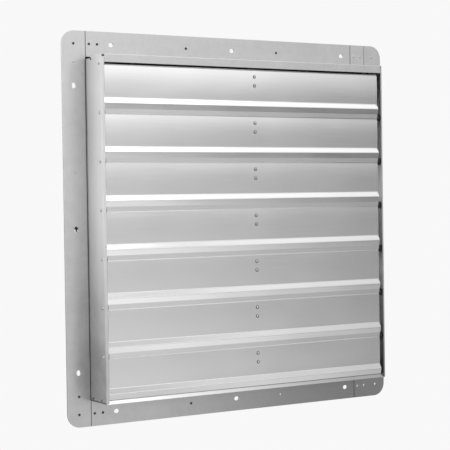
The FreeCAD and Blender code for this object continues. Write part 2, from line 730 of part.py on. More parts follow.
# Motor: end caps, shell, bearings, stator, through bolts, shaft with its rotor core
seat_radius = "(bearing_radius + bearing_fit)"
boss_radius = "(bearing_radius + bearing_boss)"
hole_radius = f"({shaft_radius} + shaft_hole_gap)"
front_seat = f"({motor_start} + bearing_recess)"
front_cap_end = f"({motor_start} + motor_cap_length)"
boss_end = f"({front_seat} + bearing_width)"
face_end = f"({motor_start} + motor_cap_face)"
front_cap = turned("front_cap_turned", [
    (hole_radius, motor_start), ("motor_radius", motor_start), ("motor_radius", front_cap_end),
    (motor_bore, front_cap_end), (motor_bore, face_end), (boss_radius, face_end), (boss_radius, boss_end),
    (seat_radius, boss_end), (seat_radius, front_seat), (hole_radius, front_seat)])
rear_seat = f"({motor_end} - bearing_recess)"
rear_boss = f"({rear_seat} - bearing_width)"
rear_face = f"({motor_end} - motor_cap_face)"
rear_cap = turned("rear_cap_turned", [
    ("0", motor_end), ("motor_radius", motor_end), ("motor_radius", motor_shell_end),
    (motor_bore, motor_shell_end), (motor_bore, rear_face),
    (boss_radius, rear_face), (boss_radius, rear_boss),
    (seat_radius, rear_boss), (seat_radius, rear_seat), ("0", rear_seat)])
stud_radius = "stud_diameter / 2"
stud_hole = f"({stud_radius} + bolt_fit)"
stud_spots = [around("stud_circle", angle) for angle in arm_angles]
stud_span = (f"{motor_start} - 2 * arm_sheet", f"{motor_end} + arm_sheet")
stud_holes = many("Part::Compound", "stud_holes", [
    rod("stud_hole", stud_hole, "Y", *stud_span, spot) for spot in stud_spots])
node("motor_front_cap", cut("motor_front_cap", front_cap, [stud_holes]))
node("motor_rear_cap", cut("motor_rear_cap", rear_cap, [stud_holes]))
shell_span = (motor_shell_start, motor_shell_end)
shell_body = rod("shell_body", "motor_radius", "Y", *shell_span, ("0", "0"))
shell_bore = rod("shell_bore", motor_bore, "Y", *shell_span, ("0", "0"))
node("motor_shell", cut("motor_shell", shell_body, [shell_bore]))

bearings = []
for start in (front_seat, rear_boss):
    race_low, race_high = f"{start} + bearing_fit", f"{start} + bearing_width - bearing_fit"
    race_bore = f"{shaft_radius} + bearing_fit"
    bearings.append(turned("bearing", [
        (race_bore, race_low), ("bearing_radius", race_low),
        ("bearing_radius", race_high), (race_bore, race_high)]))
node("motor_bearings", many("Part::Compound", "motor_bearings", bearings))

core_middle = f"({motor_shell_start} + motor_shell_length / 2)"
core_start, core_end = f"({core_middle} - stator_length / 2)", f"({core_middle} + stator_length / 2)"
stator_outer = f"({motor_bore} - bearing_fit)"
stator_ring = turned("stator_ring", [
    ("stator_bore", core_start), (stator_outer, core_start),
    (stator_outer, core_end), ("stator_bore", core_end)])
notch_span = (f"{core_start} - stator_notch", f"{core_end} + stator_notch")
notches = [rod("stator_notch_hole", "stator_notch", "Y", *notch_span, spot) for spot in stud_spots]
node("motor_stator", cut("motor_stator", stator_ring, notches))

stud_head = "stud_head_across / 2"
head_front = f"({motor_start} - arm_sheet - stud_head_height)"
head_back = f"({motor_start} - arm_sheet)"
nut_back = f"({motor_end} + stud_head_height)"
stud = turned("stud", [
    ("0", head_front), (stud_head, head_front), (stud_head, head_back), (stud_radius, head_back),
    (stud_radius, motor_end), (stud_head, motor_end), (stud_head, nut_back), ("0", nut_back)])
group("through_bolts", [placed(stud, (amount(x), 0, amount(z))) for x, z in stud_spots])

shaft_front = f"({rotor_plane} - hub_length / 2 - hub_shaft_proud)"
shaft_rear = f"({rear_seat} - bearing_fit)"
core_radius = "(stator_bore - core_gap)"
node("motor_shaft", turned("motor_shaft", [
    ("0", shaft_front), (shaft_radius, shaft_front), (shaft_radius, core_start), (core_radius, core_start),
    (core_radius, core_end), (shaft_radius, core_end), (shaft_radius, shaft_rear), ("0", shaft_rear)]))

# Motor arms: bent flat bars from the panel's corners to the motor's front cap
arm_back = f"({panel_back} + arm_sheet)"
arm_front = f"({motor_start} - arm_sheet)"
upper_bend, lower_bend = "arm_sheet * 0.375", "arm_sheet * 0.25"
arm_bar = padded("arm_bar", "XY_Plane", [
    (arm_foot_end, panel_back), (arm_foot_end, arm_back), (f"{arm_foot_start} + {upper_bend}", arm_back),
    (f"{arm_knee} + {upper_bend}", motor_start), ("arm_end", motor_start), ("arm_end", arm_front),
    (f"{arm_knee} - {lower_bend}", arm_front), (f"{arm_foot_start} - {lower_bend}", panel_back)],
    "-arm_width / 2", "arm_width / 2")
arm_holes = [
    rod("arm_foot_hole", bolt_hole, "Y", "housing_depth", f"{arm_back} + arm_sheet", (arm_bolt_radius, "0")),
    rod("arm_stud_hole", stud_hole, "Y", stud_span[0], f"{motor_start} + arm_sheet", ("stud_circle", "0"))]
motor_arm = cut("motor_arm", arm_bar, arm_holes)
doc.recompute()
group("motor_arms", [spun(motor_arm.Shape, angle) for angle in arm_angles])

# Fan wheel: spider hub, cambered blades and their rivets, each spoke modelled flat along X and then pitched
pitched = FreeCAD.Rotation(FreeCAD.Vector(1, 0, 0), amount("fan_pitch_angle") - 90)
wheel_angles = [360 / fan_blade_count * index for index in range(fan_blade_count)]
fan_rivet_spots = [f"fan_rivet_first + {step} * fan_rivet_step" for step in range(3)]
fan_holes = [rod("fan_rivet_hole", rivet_hole, "Z", "-2 * fan_sheet", "2 * spider_sheet", (spot, "0"))
             for spot in fan_rivet_spots]
half_spider = "spider_width / 2"
spider_arm = cut("spider_arm", block("spider_bar", ("0", "spider_reach"), (f"-{half_spider}", half_spider),
                                     ("0", "spider_sheet")), fan_holes)

fan_tip = f"sqrt({rotor_radius} ^ 2 - (fan_tip_width / 2) ^ 2)"
fan_wide = f"({fan_tip} - fan_wide_setback)"
fan_half = [("fan_root", "fan_root_width / 2"), (fan_wide, "fan_wide_width / 2"),
            (fan_tip, "fan_tip_width / 2")]
fan_corners = [(x, f"-{y}") for x, y in fan_half] + fan_half[::-1]
fan_deep = "(fan_wide_width ^ 2 / (4 * fan_camber_radius))"
fan_pad = padded("fan_prism", "XY_Plane", fan_corners, f"-{fan_deep}", "fan_sheet")
fan_prism = rounded(fan_pad, fan_corners, "fan_corner")
camber_span = ("0", f"2 * {rotor_radius}")
camber_axis = ("0", "-fan_camber_radius")
camber_outer = rod("camber_outer", "fan_camber_radius", "X", *camber_span, camber_axis)
camber_inner = rod("camber_inner", "fan_camber_radius - fan_sheet", "X", *camber_span, camber_axis)
camber_sheet = cut("camber_sheet", camber_outer, [camber_inner])
fan_sheet_blank = doc.addObject("Part::Common", "fan_sheet_blank")
fan_sheet_blank.Base = fan_prism
fan_sheet_blank.Tool = camber_sheet
fan_blade = cut("fan_blade", fan_sheet_blank, fan_holes)
fan_rivet_seat = "(fan_sheet + rivet_fit)"
fan_rivet = blind_rivet("fan_rivet", f"{fan_rivet_seat} + spider_sheet")
doc.recompute()


def on_wheel(shape, degrees):
    place = FreeCAD.Placement(FreeCAD.Vector(0, amount(rotor_plane), 0), pitched)
    copy = shape.copy()
    copy.Placement = place.multiply(copy.Placement)
    return spun(copy, degrees)


boss_span = (f"{rotor_plane} - hub_length / 2", f"{rotor_plane} + hub_length / 2")
hub_boss = rod("hub_boss", "hub_radius", "Y", *boss_span, ("0", "0"))
hub_bore = rod("hub_bore", f"{shaft_radius} + bearing_fit", "Y", *camber_span, ("0", "0"))
doc.recompute()
fan_hub = doc.addObject("Part::Feature", "fan_hub")
hub_solid = hub_boss.Shape.multiFuse([on_wheel(spider_arm.Shape, angle) for angle in wheel_angles])
fan_hub.Shape = hub_solid.cut(hub_bore.Shape)
node("fan_hub", fan_hub)
for number, angle in enumerate(wheel_angles, 1):
    blade_node = doc.addObject("Part::Feature", f"fan_blade_{number}")
    blade_node.Shape = on_wheel(fan_blade.Shape, angle)
    node(f"fan_blade_{number}", blade_node)
rivet_up = FreeCAD.Rotation(FreeCAD.Vector(1, 0, 0), 90)
rivet_flat = [
    placed(fan_rivet, (amount(spot), 0, -amount(fan_rivet_seat)), rivet_up) for spot in fan_rivet_spots]
group("fan_blade_rivets", [on_wheel(shape, angle) for angle in wheel_angles for shape in rivet_flat])

# Junction box on top of the motor shell, its cover and the cable gland
box_low = "(motor_radius + seat_gap)"
box_top = "(motor_radius + seat_gap + box_rise)"
box_back = f"({motor_shell_end} - box_setback)"
box_front = f"({box_back} - box_depth)"
box_half = "box_length / 2"
gland_z = "(motor_radius + seat_gap + box_rise / 2)"
gland_bore_radius = "gland_bore_diameter / 2"
gland_back = f"({box_back} + gland_nut_length + gland_dome_length)"
box_solid = block("box_solid", (f"-{box_half}", box_half), (box_front, box_back), (box_low, box_top))
box_hollow = block("box_hollow", (f"box_wall - {box_half}", f"{box_half} - box_wall"),
                   (f"{box_front} + box_wall", f"{box_back} - box_wall"),
                   (f"{box_low} + box_wall", f"{box_top} + box_wall"))
gland_bore_span = (f"{box_back} - 2 * box_wall", f"{gland_back} + box_wall")
gland_bore = rod("gland_bore", gland_bore_radius, "Y", *gland_bore_span, ("0", gland_z))
node("junction_box", cut("junction_box", box_solid, [box_hollow, gland_bore]))
cover_half = "(box_length / 2 + cover_overhang)"
node("junction_box_cover", block("junction_box_cover", (f"-{cover_half}", cover_half),
                                 (f"{box_front} - cover_overhang", f"{box_back} + cover_overhang"),
                                 (box_top, f"{box_top} + cover_sheet")))
gland_nut = hex_rod("gland_nut", "gland_across", box_back, f"{box_back} + gland_nut_length")
gland_nut.setExpression("Placement.Base.z", tied(gland_z))
gland_dome_span = (f"{box_back} + gland_nut_length", gland_back)
gland_dome = rod("gland_dome", "gland_dome_diameter / 2", "Y", *gland_dome_span, ("0", gland_z))
node("cable_gland", cut("cable_gland", joined("gland_blank", [gland_nut, gland_dome]), [gland_bore]))

# Hex bolts: on the panel, on the arm feet, and clamping the guard's feet
bolt_washer = rod("bolt_washer", "bolt_washer_diameter / 2", "Y", "0", "bolt_washer_height", ("0", "0"))
bolt_top = "bolt_washer_height + bolt_head_height"
bolt_head = hex_rod("bolt_head", "bolt_head_across", "bolt_washer_height", bolt_top)
bolt_shank = rod("bolt_shank", "bolt_diameter / 2", "Y", "-bolt_length", "0", ("0", "0"))
hex_bolt = joined("hex_bolt", [bolt_washer, bolt_head, bolt_shank])
doc.recompute()
bolt_seats = [(spot, panel_back) for spot in panel_bolt_spots]
bolt_seats += [(spot, arm_back) for spot in arm_bolt_spots]
bolt_seats += [(spot, f"{panel_back} + guard_wire + 2 * guard_weld_gap") for spot in guard_bolt_spots]
group("hex_bolts", [placed(hex_bolt, (amount(x), amount(seat), amount(z))) for (x, z), seat in bolt_seats])

# Wire guard: bent spokes with welded face rings and skirt rings
wire_radius = amount("guard_wire / 2")
foot_y = amount(f"{panel_back} + guard_weld_gap + guard_wire / 2")
guard_corners = [
    FreeCAD.Vector(amount(f"{guard_base} + guard_foot"), foot_y, 0),
    FreeCAD.Vector(amount(guard_base), foot_y, 0),
    FreeCAD.Vector(amount(guard_shoulder), amount(guard_face), 0),
    FreeCAD.Vector(amount("guard_inner_ring - guard_wire"), amount(guard_face), 0)]
guard_bends = [amount("guard_base_bend"), amount("guard_shoulder_bend")]


def bent_path(corners, bends):
    edges = []
    start = corners[0]
    for index, bend in enumerate(bends, 1):
        before = (corners[index - 1] - corners[index]).normalize()
        after = (corners[index + 1] - corners[index]).normalize()
        half_turn = (math.pi - before.getAngle(after)) / 2
        reach = bend * math.tan(half_turn)
        inward = FreeCAD.Vector(before + after).normalize()
        middle = corners[index] + inward * (bend / math.cos(half_turn) - bend)
        arc_start, arc_end = corners[index] + before * reach, corners[index] + after * reach
        edges.append(Part.LineSegment(start, arc_start).toShape())
        edges.append(Part.Arc(arc_start, middle, arc_end).toShape())
        start = arc_end
    edges.append(Part.LineSegment(start, corners[-1]).toShape())
    return Part.Wire(edges)


spoke_path = bent_path(guard_corners, guard_bends)
spoke_section = Part.Wire([Part.makeCircle(wire_radius, guard_corners[0], FreeCAD.Vector(1, 0, 0))])
spoke = spoke_path.makePipeShell([spoke_section], True, False)
weld = amount("guard_wire + guard_weld_gap")
leg = guard_corners[2] - guard_corners[1]
leg_slope = leg.x / leg.y
leg_lean = math.cos(math.atan(leg_slope))
ring_axis = FreeCAD.Vector(0, 1, 0)
rings = []
for step in range(guard_face_rings):
    radius = amount(f"guard_inner_ring + {step} * {guard_ring_pitch}")
    middle = FreeCAD.Vector(0, guard_corners[3].y + weld, 0)
    rings.append(Part.makeTorus(radius, wire_radius, middle, ring_axis))
for step in range(guard_skirt_rings):
    rise = amount(f"guard_skirt_first + {step} * guard_skirt_pitch")
    radius = guard_corners[1].x + leg_slope * rise + weld / leg_lean
    rings.append(Part.makeTorus(radius, wire_radius, FreeCAD.Vector(0, foot_y + rise, 0), ring_axis))
group("wire_guard", [spun(spoke, angle) for angle in spoke_angles] + rings)

# Cord clip pushed into the middle left slot from behind
clip_x = f"-{hole_line}"
clip_bar = block("clip_bar", (f"{clip_x} - clip_bar_width / 2", f"{clip_x} + clip_bar_width / 2"),
                 ("-clip_proud", f"{foot_back} + clip_plate"), ("0", "clip_bar_height"))
clip_stem = block("clip_stem", (f"{clip_x} - clip_stem_width / 2", f"{clip_x} + clip_stem_width / 2"),
                  ("-clip_proud", "frame_sheet"),
                  ("-clip_stem_height + clip_stem_width / 4", "clip_bar_height"))
clip_back = block("clip_back", (f"{clip_x} - clip_bar_width / 2", f"{clip_x} + clip_bar_width / 2"),
                  (foot_back, f"{foot_back} + clip_plate"), ("0", "clip_plate_height"))
loop_y = f"({foot_back} + clip_plate + clip_loop_radius - clip_loop_wall / 2)"
loop_span = ("clip_plate_height - clip_loop_width", "clip_plate_height")
clip_loop = rod("clip_loop", "clip_loop_radius", "Z", *loop_span, (clip_x, loop_y))
loop_bore = rod("loop_bore", "clip_loop_radius - clip_loop_wall", "Z", *loop_span, (clip_x, loop_y))
clip_blank = joined("clip_blank", [clip_bar, clip_stem, clip_back, clip_loop])
node("cord_clip", cut("cord_clip", clip_blank, [loop_bore]))

# Check every feature and piece, then write one file for each piece
doc.recompute()
for obj in doc.Objects:
    if {"Invalid", "Error"} & set(obj.State):
        raise RuntimeError(f"{obj.Name} failed: {obj.State}")
for label, obj in nodes.items():
    if obj.Shape.isNull() or not obj.Shape.isValid() or not obj.Shape.Solids:
        raise RuntimeError(f"{label} has no valid solid")
os.makedirs("parts", exist_ok=True)
for label, obj in nodes.items():
    obj.Shape.exportStep(f"parts/{label}.step")
    print(label, len(obj.Shape.Solids), "solids", round(obj.Shape.Volume), "mm3")
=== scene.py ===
import json
import math

import bmesh
import bpy
from mathutils import Matrix, Vector


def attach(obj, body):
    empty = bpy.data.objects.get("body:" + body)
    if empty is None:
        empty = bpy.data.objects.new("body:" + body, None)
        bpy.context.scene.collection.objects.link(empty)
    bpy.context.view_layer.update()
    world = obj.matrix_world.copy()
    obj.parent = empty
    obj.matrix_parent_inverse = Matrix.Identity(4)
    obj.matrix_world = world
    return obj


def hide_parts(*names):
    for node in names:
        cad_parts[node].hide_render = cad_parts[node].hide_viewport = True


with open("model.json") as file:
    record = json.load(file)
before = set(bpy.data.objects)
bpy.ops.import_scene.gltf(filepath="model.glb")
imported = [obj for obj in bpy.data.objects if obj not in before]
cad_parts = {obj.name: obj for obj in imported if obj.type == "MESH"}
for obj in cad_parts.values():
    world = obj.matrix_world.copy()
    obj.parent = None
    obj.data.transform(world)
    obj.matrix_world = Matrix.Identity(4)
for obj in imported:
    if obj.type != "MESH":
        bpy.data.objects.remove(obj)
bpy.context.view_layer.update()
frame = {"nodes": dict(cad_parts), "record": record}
nodes = frame["nodes"]
print("frame loaded:", len(nodes), "nodes")


# shader maths: a socket that takes part in plain sums
class Wire:
    def __init__(self, paint, socket):
        self.paint = paint
        self.socket = socket

    def sum(self, operation, first, second):
        return self.paint.node("ShaderNodeMath", {"operation": operation}, {0: first, 1: second})

    def __add__(self, other):
        return self.sum("ADD", self, other)

    def __sub__(self, other):
        return self.sum("SUBTRACT", self, other)

    def __rsub__(self, other):
        return self.sum("SUBTRACT", other, self)

    def __mul__(self, other):
        return self.sum("MULTIPLY", self, other)

    __radd__ = __add__
    __rmul__ = __mul__


class Paint:
    def __init__(self, tree):
        self.tree = tree
        tree.nodes.clear()

    def node(self, kind, settings=None, sockets=None, out=0):
        made = self.tree.nodes.new(kind)
        for key, value in (settings or {}).items():
            if key == "stops":  # a ramp's stops: (place, grey) pairs
                ramp = made.color_ramp
                while len(ramp.elements) < len(value):
                    ramp.elements.new(1)
                for element, (place, level) in zip(ramp.elements, value):
                    element.position = place
                    element.color = grey(level)
            else:
                setattr(made, key, value)
        for key, value in (sockets or {}).items():
            if isinstance(value, Wire):
                self.tree.links.new(value.socket, made.inputs[key])
            else:
                made.inputs[key].default_value = value
        return Wire(self, made.outputs[out]) if made.outputs else None

    def place(self, scale=(1, 1, 1)):
        spot = self.node("ShaderNodeTexCoord", out="Object")
        return self.node("ShaderNodeMapping", None, {"Vector": spot, "Scale": scale})

    def noise(self, scale, detail=3, stretch=(1, 1, 1), rough=0.5):
        sockets = {"Vector": self.place(stretch), "Scale": scale, "Detail": detail, "Roughness": rough}
        return self.node("ShaderNodeTexNoise", None, sockets)

    def ramp(self, value, low, high, bottom=0.0, top=1.0):
        sockets = {"Value": value, "From Min": low, "From Max": high, "To Min": bottom, "To Max": top}
        return self.node("ShaderNodeMapRange", {"interpolation_type": "SMOOTHSTEP"}, sockets)

    def mix(self, share, first, second):
        return self.node("ShaderNodeMix", {"data_type": "RGBA"}, {0: share, 6: first, 7: second}, 2)

    def bump(self, height, strength, depth):
        return self.node("ShaderNodeBump", None, {"Height": height, "Strength": strength, "Distance": depth})


def newMaterial(name):
    material = bpy.data.materials.new(name)
    material.use_nodes = True
    return material, Paint(material.node_tree)


def surface(paint, **sockets):
    named = {key.replace("_", " "): value for key, value in sockets.items()}
    shader = paint.node("ShaderNodeBsdfPrincipled", None, named)
    paint.node("ShaderNodeOutputMaterial", None, {"Surface": shader})


def grey(level, warm=0.0):
    return (level * (1 + warm), level, level * (1 - warm), 1)


# finishes: shares say how much each noise counts, spans are where a ramp starts and ends
sheetMix = {"grainRough": 0.6, "speckScale": 420, "toneShares": (0.5, 0.35, 0.15), "toneSpan": (0.32, 0.68),
            "roughShares": (0.4, 0.6), "roughSpan": (0.3, 0.7), "bumpShares": (0.7, 0.3),
            "bumpDepth": 0.0004, "hazeDepth": (-0.002, -0.008)}
mouldMix = {"cloudScale": 40, "span": (0.3, 0.7), "share": 0.5, "pitDepth": 0.0003}


def sheetMetal(name, **look):
    material, paint = newMaterial(name)
    grain = paint.noise(1, 4, look["grain"], sheetMix["grainRough"])  # rolling grain
    cloud = paint.noise(look["cloudScale"], 3)  # handling marks
    speck = paint.noise(sheetMix["speckScale"], 2)
    byGrain, byCloud, bySpeck = sheetMix["toneShares"]
    tone = paint.ramp(grain * byGrain + cloud * byCloud + speck * bySpeck, *sheetMix["toneSpan"])
    colour = paint.mix(tone, *[grey(level, look.get("warm", 0.0)) for level in look["tone"]])
    if "soil" in look:  # painted shade: colour darkened toward one end
        sockets = {0: paint.place(), 1: look["soilWay"]}
        along = paint.node("ShaderNodeVectorMath", {"operation": "DOT_PRODUCT"}, sockets, "Value")
        colour = paint.mix(paint.ramp(along, *look["soilSpan"]), colour, grey(look["soil"]))
    byGrain, byCloud = sheetMix["roughShares"]
    rough = cloud * byCloud + grain * byGrain
    rough = paint.ramp(rough, *sheetMix["roughSpan"], *look["rough"])
    if "haze" in look:  # a wall that stands in front of its flange is hazed toward the top, and its colour is lifted there as painted light
        depth, rise = [paint.node("ShaderNodeSeparateXYZ", None, {0: paint.place()}, out) for out in (1, 2)]
        haze = paint.ramp(depth, *sheetMix["hazeDepth"]) * paint.ramp(rise, *look["hazeSpan"])
        colour = paint.mix(haze, colour, grey(look["hazeTone"]))
        rough = rough + haze * look["haze"]
    byGrain, bySpeck = sheetMix["bumpShares"]
    height = (grain * byGrain + speck * bySpeck) * look["bump"] * sheetMix["bumpDepth"]
    if "warp" in look:  # slow waviness of thin sheet, in metres
        height = height + paint.noise(1, 1, look["waves"]) * look["warp"]
    normal = paint.bump(height, 1.0, 1.0)
    surface(paint, Base_Color=colour, Metallic=1.0, Roughness=rough, Normal=normal)
    return material


def moulded(name, **look):
    material, paint = newMaterial(name)
    pits = paint.noise(look["pitScale"], 3)
    cloud = paint.noise(mouldMix["cloudScale"], 2)
    colour = paint.mix(paint.ramp(cloud, *mouldMix["span"]), *[grey(level) for level in look["tone"]])
    rough = pits * mouldMix["share"] + cloud * mouldMix["share"]
    rough = paint.ramp(rough, *mouldMix["span"], *look["rough"])
    normal = paint.bump(pits, look["bump"], mouldMix["pitDepth"])
    surface(paint, Base_Color=colour, Roughness=rough, Normal=normal)
    return material


mill = {"grain": (60, 60, 60), "cloudScale": 9, "tone": (0.64, 0.72), "rough": (0.33, 0.42), "bump": 0.05,
        "waves": (9, 9, 9)}
fine = {"grain": (300, 300, 300), "bump": 0.05}
finishes = {
    "mill_aluminium": sheetMetal("millAluminium", **mill, warp=0.0008),
    # painted light: the left wall's colour is lighter toward its top, along with its rougher haze
    "left_aluminium": sheetMetal(
        "leftAluminium", **mill, warp=0.0003, haze=0.26, hazeTone=0.9, hazeSpan=(-0.3, 0.08)),
    # painted shade: the sill's colour darkens toward its right end
    "sill_aluminium": sheetMetal(
        "sillAluminium", **mill, warp=0.0008, soil=0.375, soilWay=(1, 0, 0), soilSpan=(-0.3, 0.3)),
    # painted shade: the right frame's colour darkens toward the bottom
    "right_aluminium": sheetMetal(
        "rightAluminium", **mill, warp=0.0008, soil=0.375, soilWay=(0, 0, -1), soilSpan=(0.0, 0.33)),
    "louver_aluminium": sheetMetal(
        "louverAluminium", grain=(12, 420, 420), cloudScale=7, tone=(0.78, 0.815), rough=(0.17, 0.21),
        bump=0.008, waves=(4, 9, 9), warp=0.0012),
    # painted shade: rivet heads nearly black, standing in for the shade around their rims
    "rivet_aluminium": sheetMetal(
        "rivetPaintedShade", **fine, cloudScale=60, tone=(0.07, 0.12), rough=(0.3, 0.4)),
    "rivet_cap": sheetMetal(
        "rivetCap", grain=(300, 300, 300), cloudScale=60, tone=(0.82, 0.9), rough=(0.1, 0.18), bump=0.03),
    "bracket_steel": sheetMetal(
        "bracketSteel", grain=(200, 200, 200), cloudScale=40, tone=(0.5, 0.6), warm=0.01, rough=(0.3, 0.42),
        bump=0.06),
    "pin_steel": sheetMetal("pinSteel", **fine, cloudScale=60, tone=(0.5, 0.62), rough=(0.25, 0.38)),
    "black_nylon": moulded("blackNylon", pitScale=900, tone=(0.012, 0.02), rough=(0.42, 0.55), bump=0.1),
    "panel_steel": sheetMetal(
        "galvanisedSteel", grain=(26, 26, 26), cloudScale=14, tone=(0.5, 0.64), warm=-0.01,
        rough=(0.32, 0.46), bump=0.05),
    "zinc_steel": sheetMetal(
        "zincSteel", **fine, cloudScale=80, tone=(0.5, 0.62), warm=0.02, rough=(0.25, 0.38)),
    "arm_paint": moulded("armPaint", pitScale=500, tone=(0.035, 0.05), rough=(0.4, 0.5), bump=0.12),
    "motor_paint": moulded("motorPaint", pitScale=500, tone=(0.12, 0.15), rough=(0.36, 0.48), bump=0.14),
    "bearing_steel": sheetMetal(
        "bearingSteel", grain=(200, 200, 200), cloudScale=40, tone=(0.55, 0.65), rough=(0.15, 0.25),
        bump=0.02),
    "lamination_steel": sheetMetal(
        "laminationSteel", grain=(3, 2000, 3), cloudScale=40, tone=(0.2, 0.32), warm=0.02, rough=(0.45, 0.6),
        bump=0.2),
    "shaft_steel": sheetMetal(
        "shaftSteel", grain=(5, 900, 5), cloudScale=30, tone=(0.55, 0.66), rough=(0.2, 0.32), bump=0.06),
    "hub_steel": moulded("hubPaint", pitScale=500, tone=(0.04, 0.06), rough=(0.38, 0.5), bump=0.12),
    "fan_aluminium": sheetMetal(
        "fanAluminium", grain=(40, 40, 40), cloudScale=12, tone=(0.62, 0.72), rough=(0.3, 0.42), bump=0.05),
    "guard_wire": moulded("guardPaint", pitScale=700, tone=(0.03, 0.045), rough=(0.34, 0.44), bump=0.1),
    "housing_paint": moulded(
        "housingPaint", pitScale=800, tone=(0.018, 0.028), rough=(0.5, 0.62), bump=0.15),
}
slotOf = {row["node"]: row["material_slot"] for row in frame["record"]["subparts"]}
for name, node in nodes.items():
    node.data.materials.clear()
    node.data.materials.append(finishes[slotOf[name]])
print("finishes made:", len(finishes))

# mesh helpers: shapes are drawn in millimetres and scaled to metres when the piece is finished
millimetre = 0.001
bite = 0.02  # sheets that join in one piece overlap by this much, so that each stays a closed shell
sameSpot = 0.001
weldReach = 0.0005
steps = {"fold": 5, "plateCorner": 10, "slabCorner": 8}  # how finely bends and corners are rounded
creases = {"louver": 10, "sheet": 30, "plain": 35, "rivet": 40, "wire": 60}  # degrees, sharp from there
edgeCut = {"segments": 2, "angle": 50}
axisOrder = {"X": (2, 0, 1), "Y": (0, 2, 1), "Z": (0, 1, 2)}  # drawn in (y, z), (x, z) or (x, y)


def spot(axis, along, pair):
    flat = (pair[0], pair[1], along)
    return Vector(flat[index] for index in axisOrder[axis])


def linked(name, data):
    made = bpy.data.objects.new(name, data)
    bpy.context.scene.collection.objects.link(made)
    return made


def meshOf(name, bm):
    mesh = bpy.data.meshes.new(name)
    bm.to_mesh(mesh)
    bm.free()
    return mesh


def finishPiece(name, bm, slotName, replaced=(), crease="plain", body="frame", edge=0.0, finish=None):
    bmesh.ops.scale(bm, vec=(millimetre, millimetre, millimetre), verts=bm.verts)
    mesh = meshOf(name, bm)
    mesh.polygons.foreach_set("use_smooth", [True] * len(mesh.polygons))
    mesh.set_sharp_from_angle(angle=math.radians(creases[crease]))
    mesh.materials.append(finishes[finish or slotName])
    piece = linked(name, mesh)
    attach(piece, body)
    if replaced:
        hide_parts(*replaced)
    if edge:  # broken edge, in millimetres
        rim = piece.modifiers.new("brokenEdge", "BEVEL")
        rim.width = edge * millimetre
        rim.segments = edgeCut["segments"]
        rim.limit_method = "ANGLE"
        rim.angle_limit = math.radians(edgeCut["angle"])
    flats = piece.modifiers.new("evenFlats", "WEIGHTED_NORMAL")  # flat faces shade flat up to their bends
    flats.keep_sharp = True


def outward(bm):
    bmesh.ops.recalc_face_normals(bm, faces=bm.faces[:])
    return bm


def welded(bm):
    bmesh.ops.remove_doubles(bm, verts=bm.verts, dist=weldReach)
    return outward(bm)


def roundOff(bm, geom, size, segments, affect):
    bmesh.ops.bevel(bm, geom=geom, offset=size, offset_type="OFFSET", segments=segments, profile=0.5,
                    affect=affect, clamp_overlap=True, material=-1)


def chain(bm, verts):
    return [bm.edges.new(pair) for pair in zip(verts, verts[1:])]


def vertsOf(made):
    return [item for item in made if isinstance(item, bmesh.types.BMVert)]


def edgesOf(made):
    return [item for item in made if isinstance(item, bmesh.types.BMEdge)]


def pushEdges(bm, edges, way):
    # draws a row of edges out into faces and gives back the row at the far end
    made = bmesh.ops.extrude_edge_only(bm, edges=edges)["geom"]
    fresh = vertsOf(made)
    bmesh.ops.translate(bm, vec=way, verts=fresh)
    return [edge for edge in edgesOf(made) if all(vert in fresh for vert in edge.verts)]


def pushFaces(bm, way):
    made = bmesh.ops.extrude_face_region(bm, geom=bm.faces[:])["geom"]
    bmesh.ops.translate(bm, vec=way, verts=vertsOf(made))
    return outward(bm)


def spun(bm, axis, turns):
    bmesh.ops.spin(bm, geom=bm.verts[:] + bm.edges[:], cent=(0, 0, 0), axis=axis, angle=math.tau,
                   steps=turns, use_merge=True)
    return welded(bm)


def foldSheet(axis, profile, span, bends, facing, thickness):
    # profile points run along the sheet's outer face, bends give the rounding at a point's index
    bm = bmesh.new()
    low, high = span
    along = spot(axis, 1, (0, 0))
    pushEdges(bm, chain(bm, [bm.verts.new(spot(axis, low, pair)) for pair in profile]), along * (high - low))
    bm.normal_update()
    bm.faces.ensure_lookup_table()
    if bm.faces[0].normal.dot(Vector(facing)) < 0:
        bmesh.ops.reverse_faces(bm, faces=bm.faces[:])
    across = Vector((1, 1, 1)) - along
    for index, size in bends.items():
        corner = spot(axis, 0, profile[index])
        run = [edge for edge in bm.edges
               if all(((vert.co - corner) * across).length < sameSpot for vert in edge.verts)]
        roundOff(bm, run, size, steps["fold"], "EDGES")
    bm.normal_update()
    bmesh.ops.solidify(bm, geom=bm.faces[:], thickness=thickness)
    return outward(bm)


def addInto(bm, other):
    mesh = meshOf("joining", other)
    bm.from_mesh(mesh)
    bpy.data.meshes.remove(mesh)
    return bm


def turnedBm(profile, sides):
    # profile is (radius, along) pairs, turned about Z
    bm = bmesh.new()
    chain(bm, [bm.verts.new((radius, 0, along)) for radius, along in profile])
    return spun(bm, (0, 0, 1), sides)


def stamp(bm, shape, places):
    # copies of one shape at several matrices
    for place in places:
        copy = shape.copy()
        bmesh.ops.transform(copy, matrix=place, verts=copy.verts)
        addInto(bm, copy)
    shape.free()
    return bm


def holedPlate(outline, rounded, holes, low, high, segments=24):
    # outline and holes lie in (x, z); the plate fills y from low to high
    bm = bmesh.new()
    verts = [bm.verts.new((x, low, z)) for x, z in outline]
    chain(bm, verts + verts[:1])
    for index, size in rounded.items():
        roundOff(bm, [verts[index]], size, steps["plateCorner"], "VERTICES")
    for x, z, radius, reachX, reachZ in holes:
        ring = bmesh.ops.create_circle(bm, cap_ends=False, segments=segments, radius=radius)["verts"]
        for vert in ring:
            across, along, _ = vert.co
            placeX = x + across + math.copysign(reachX, across)
            vert.co = (placeX, low, z + along + math.copysign(reachZ, along))
    bmesh.ops.triangle_fill(bm, use_beauty=True, use_dissolve=False, edges=bm.edges[:])
    return pushFaces(bm, (0, high - low, 0))


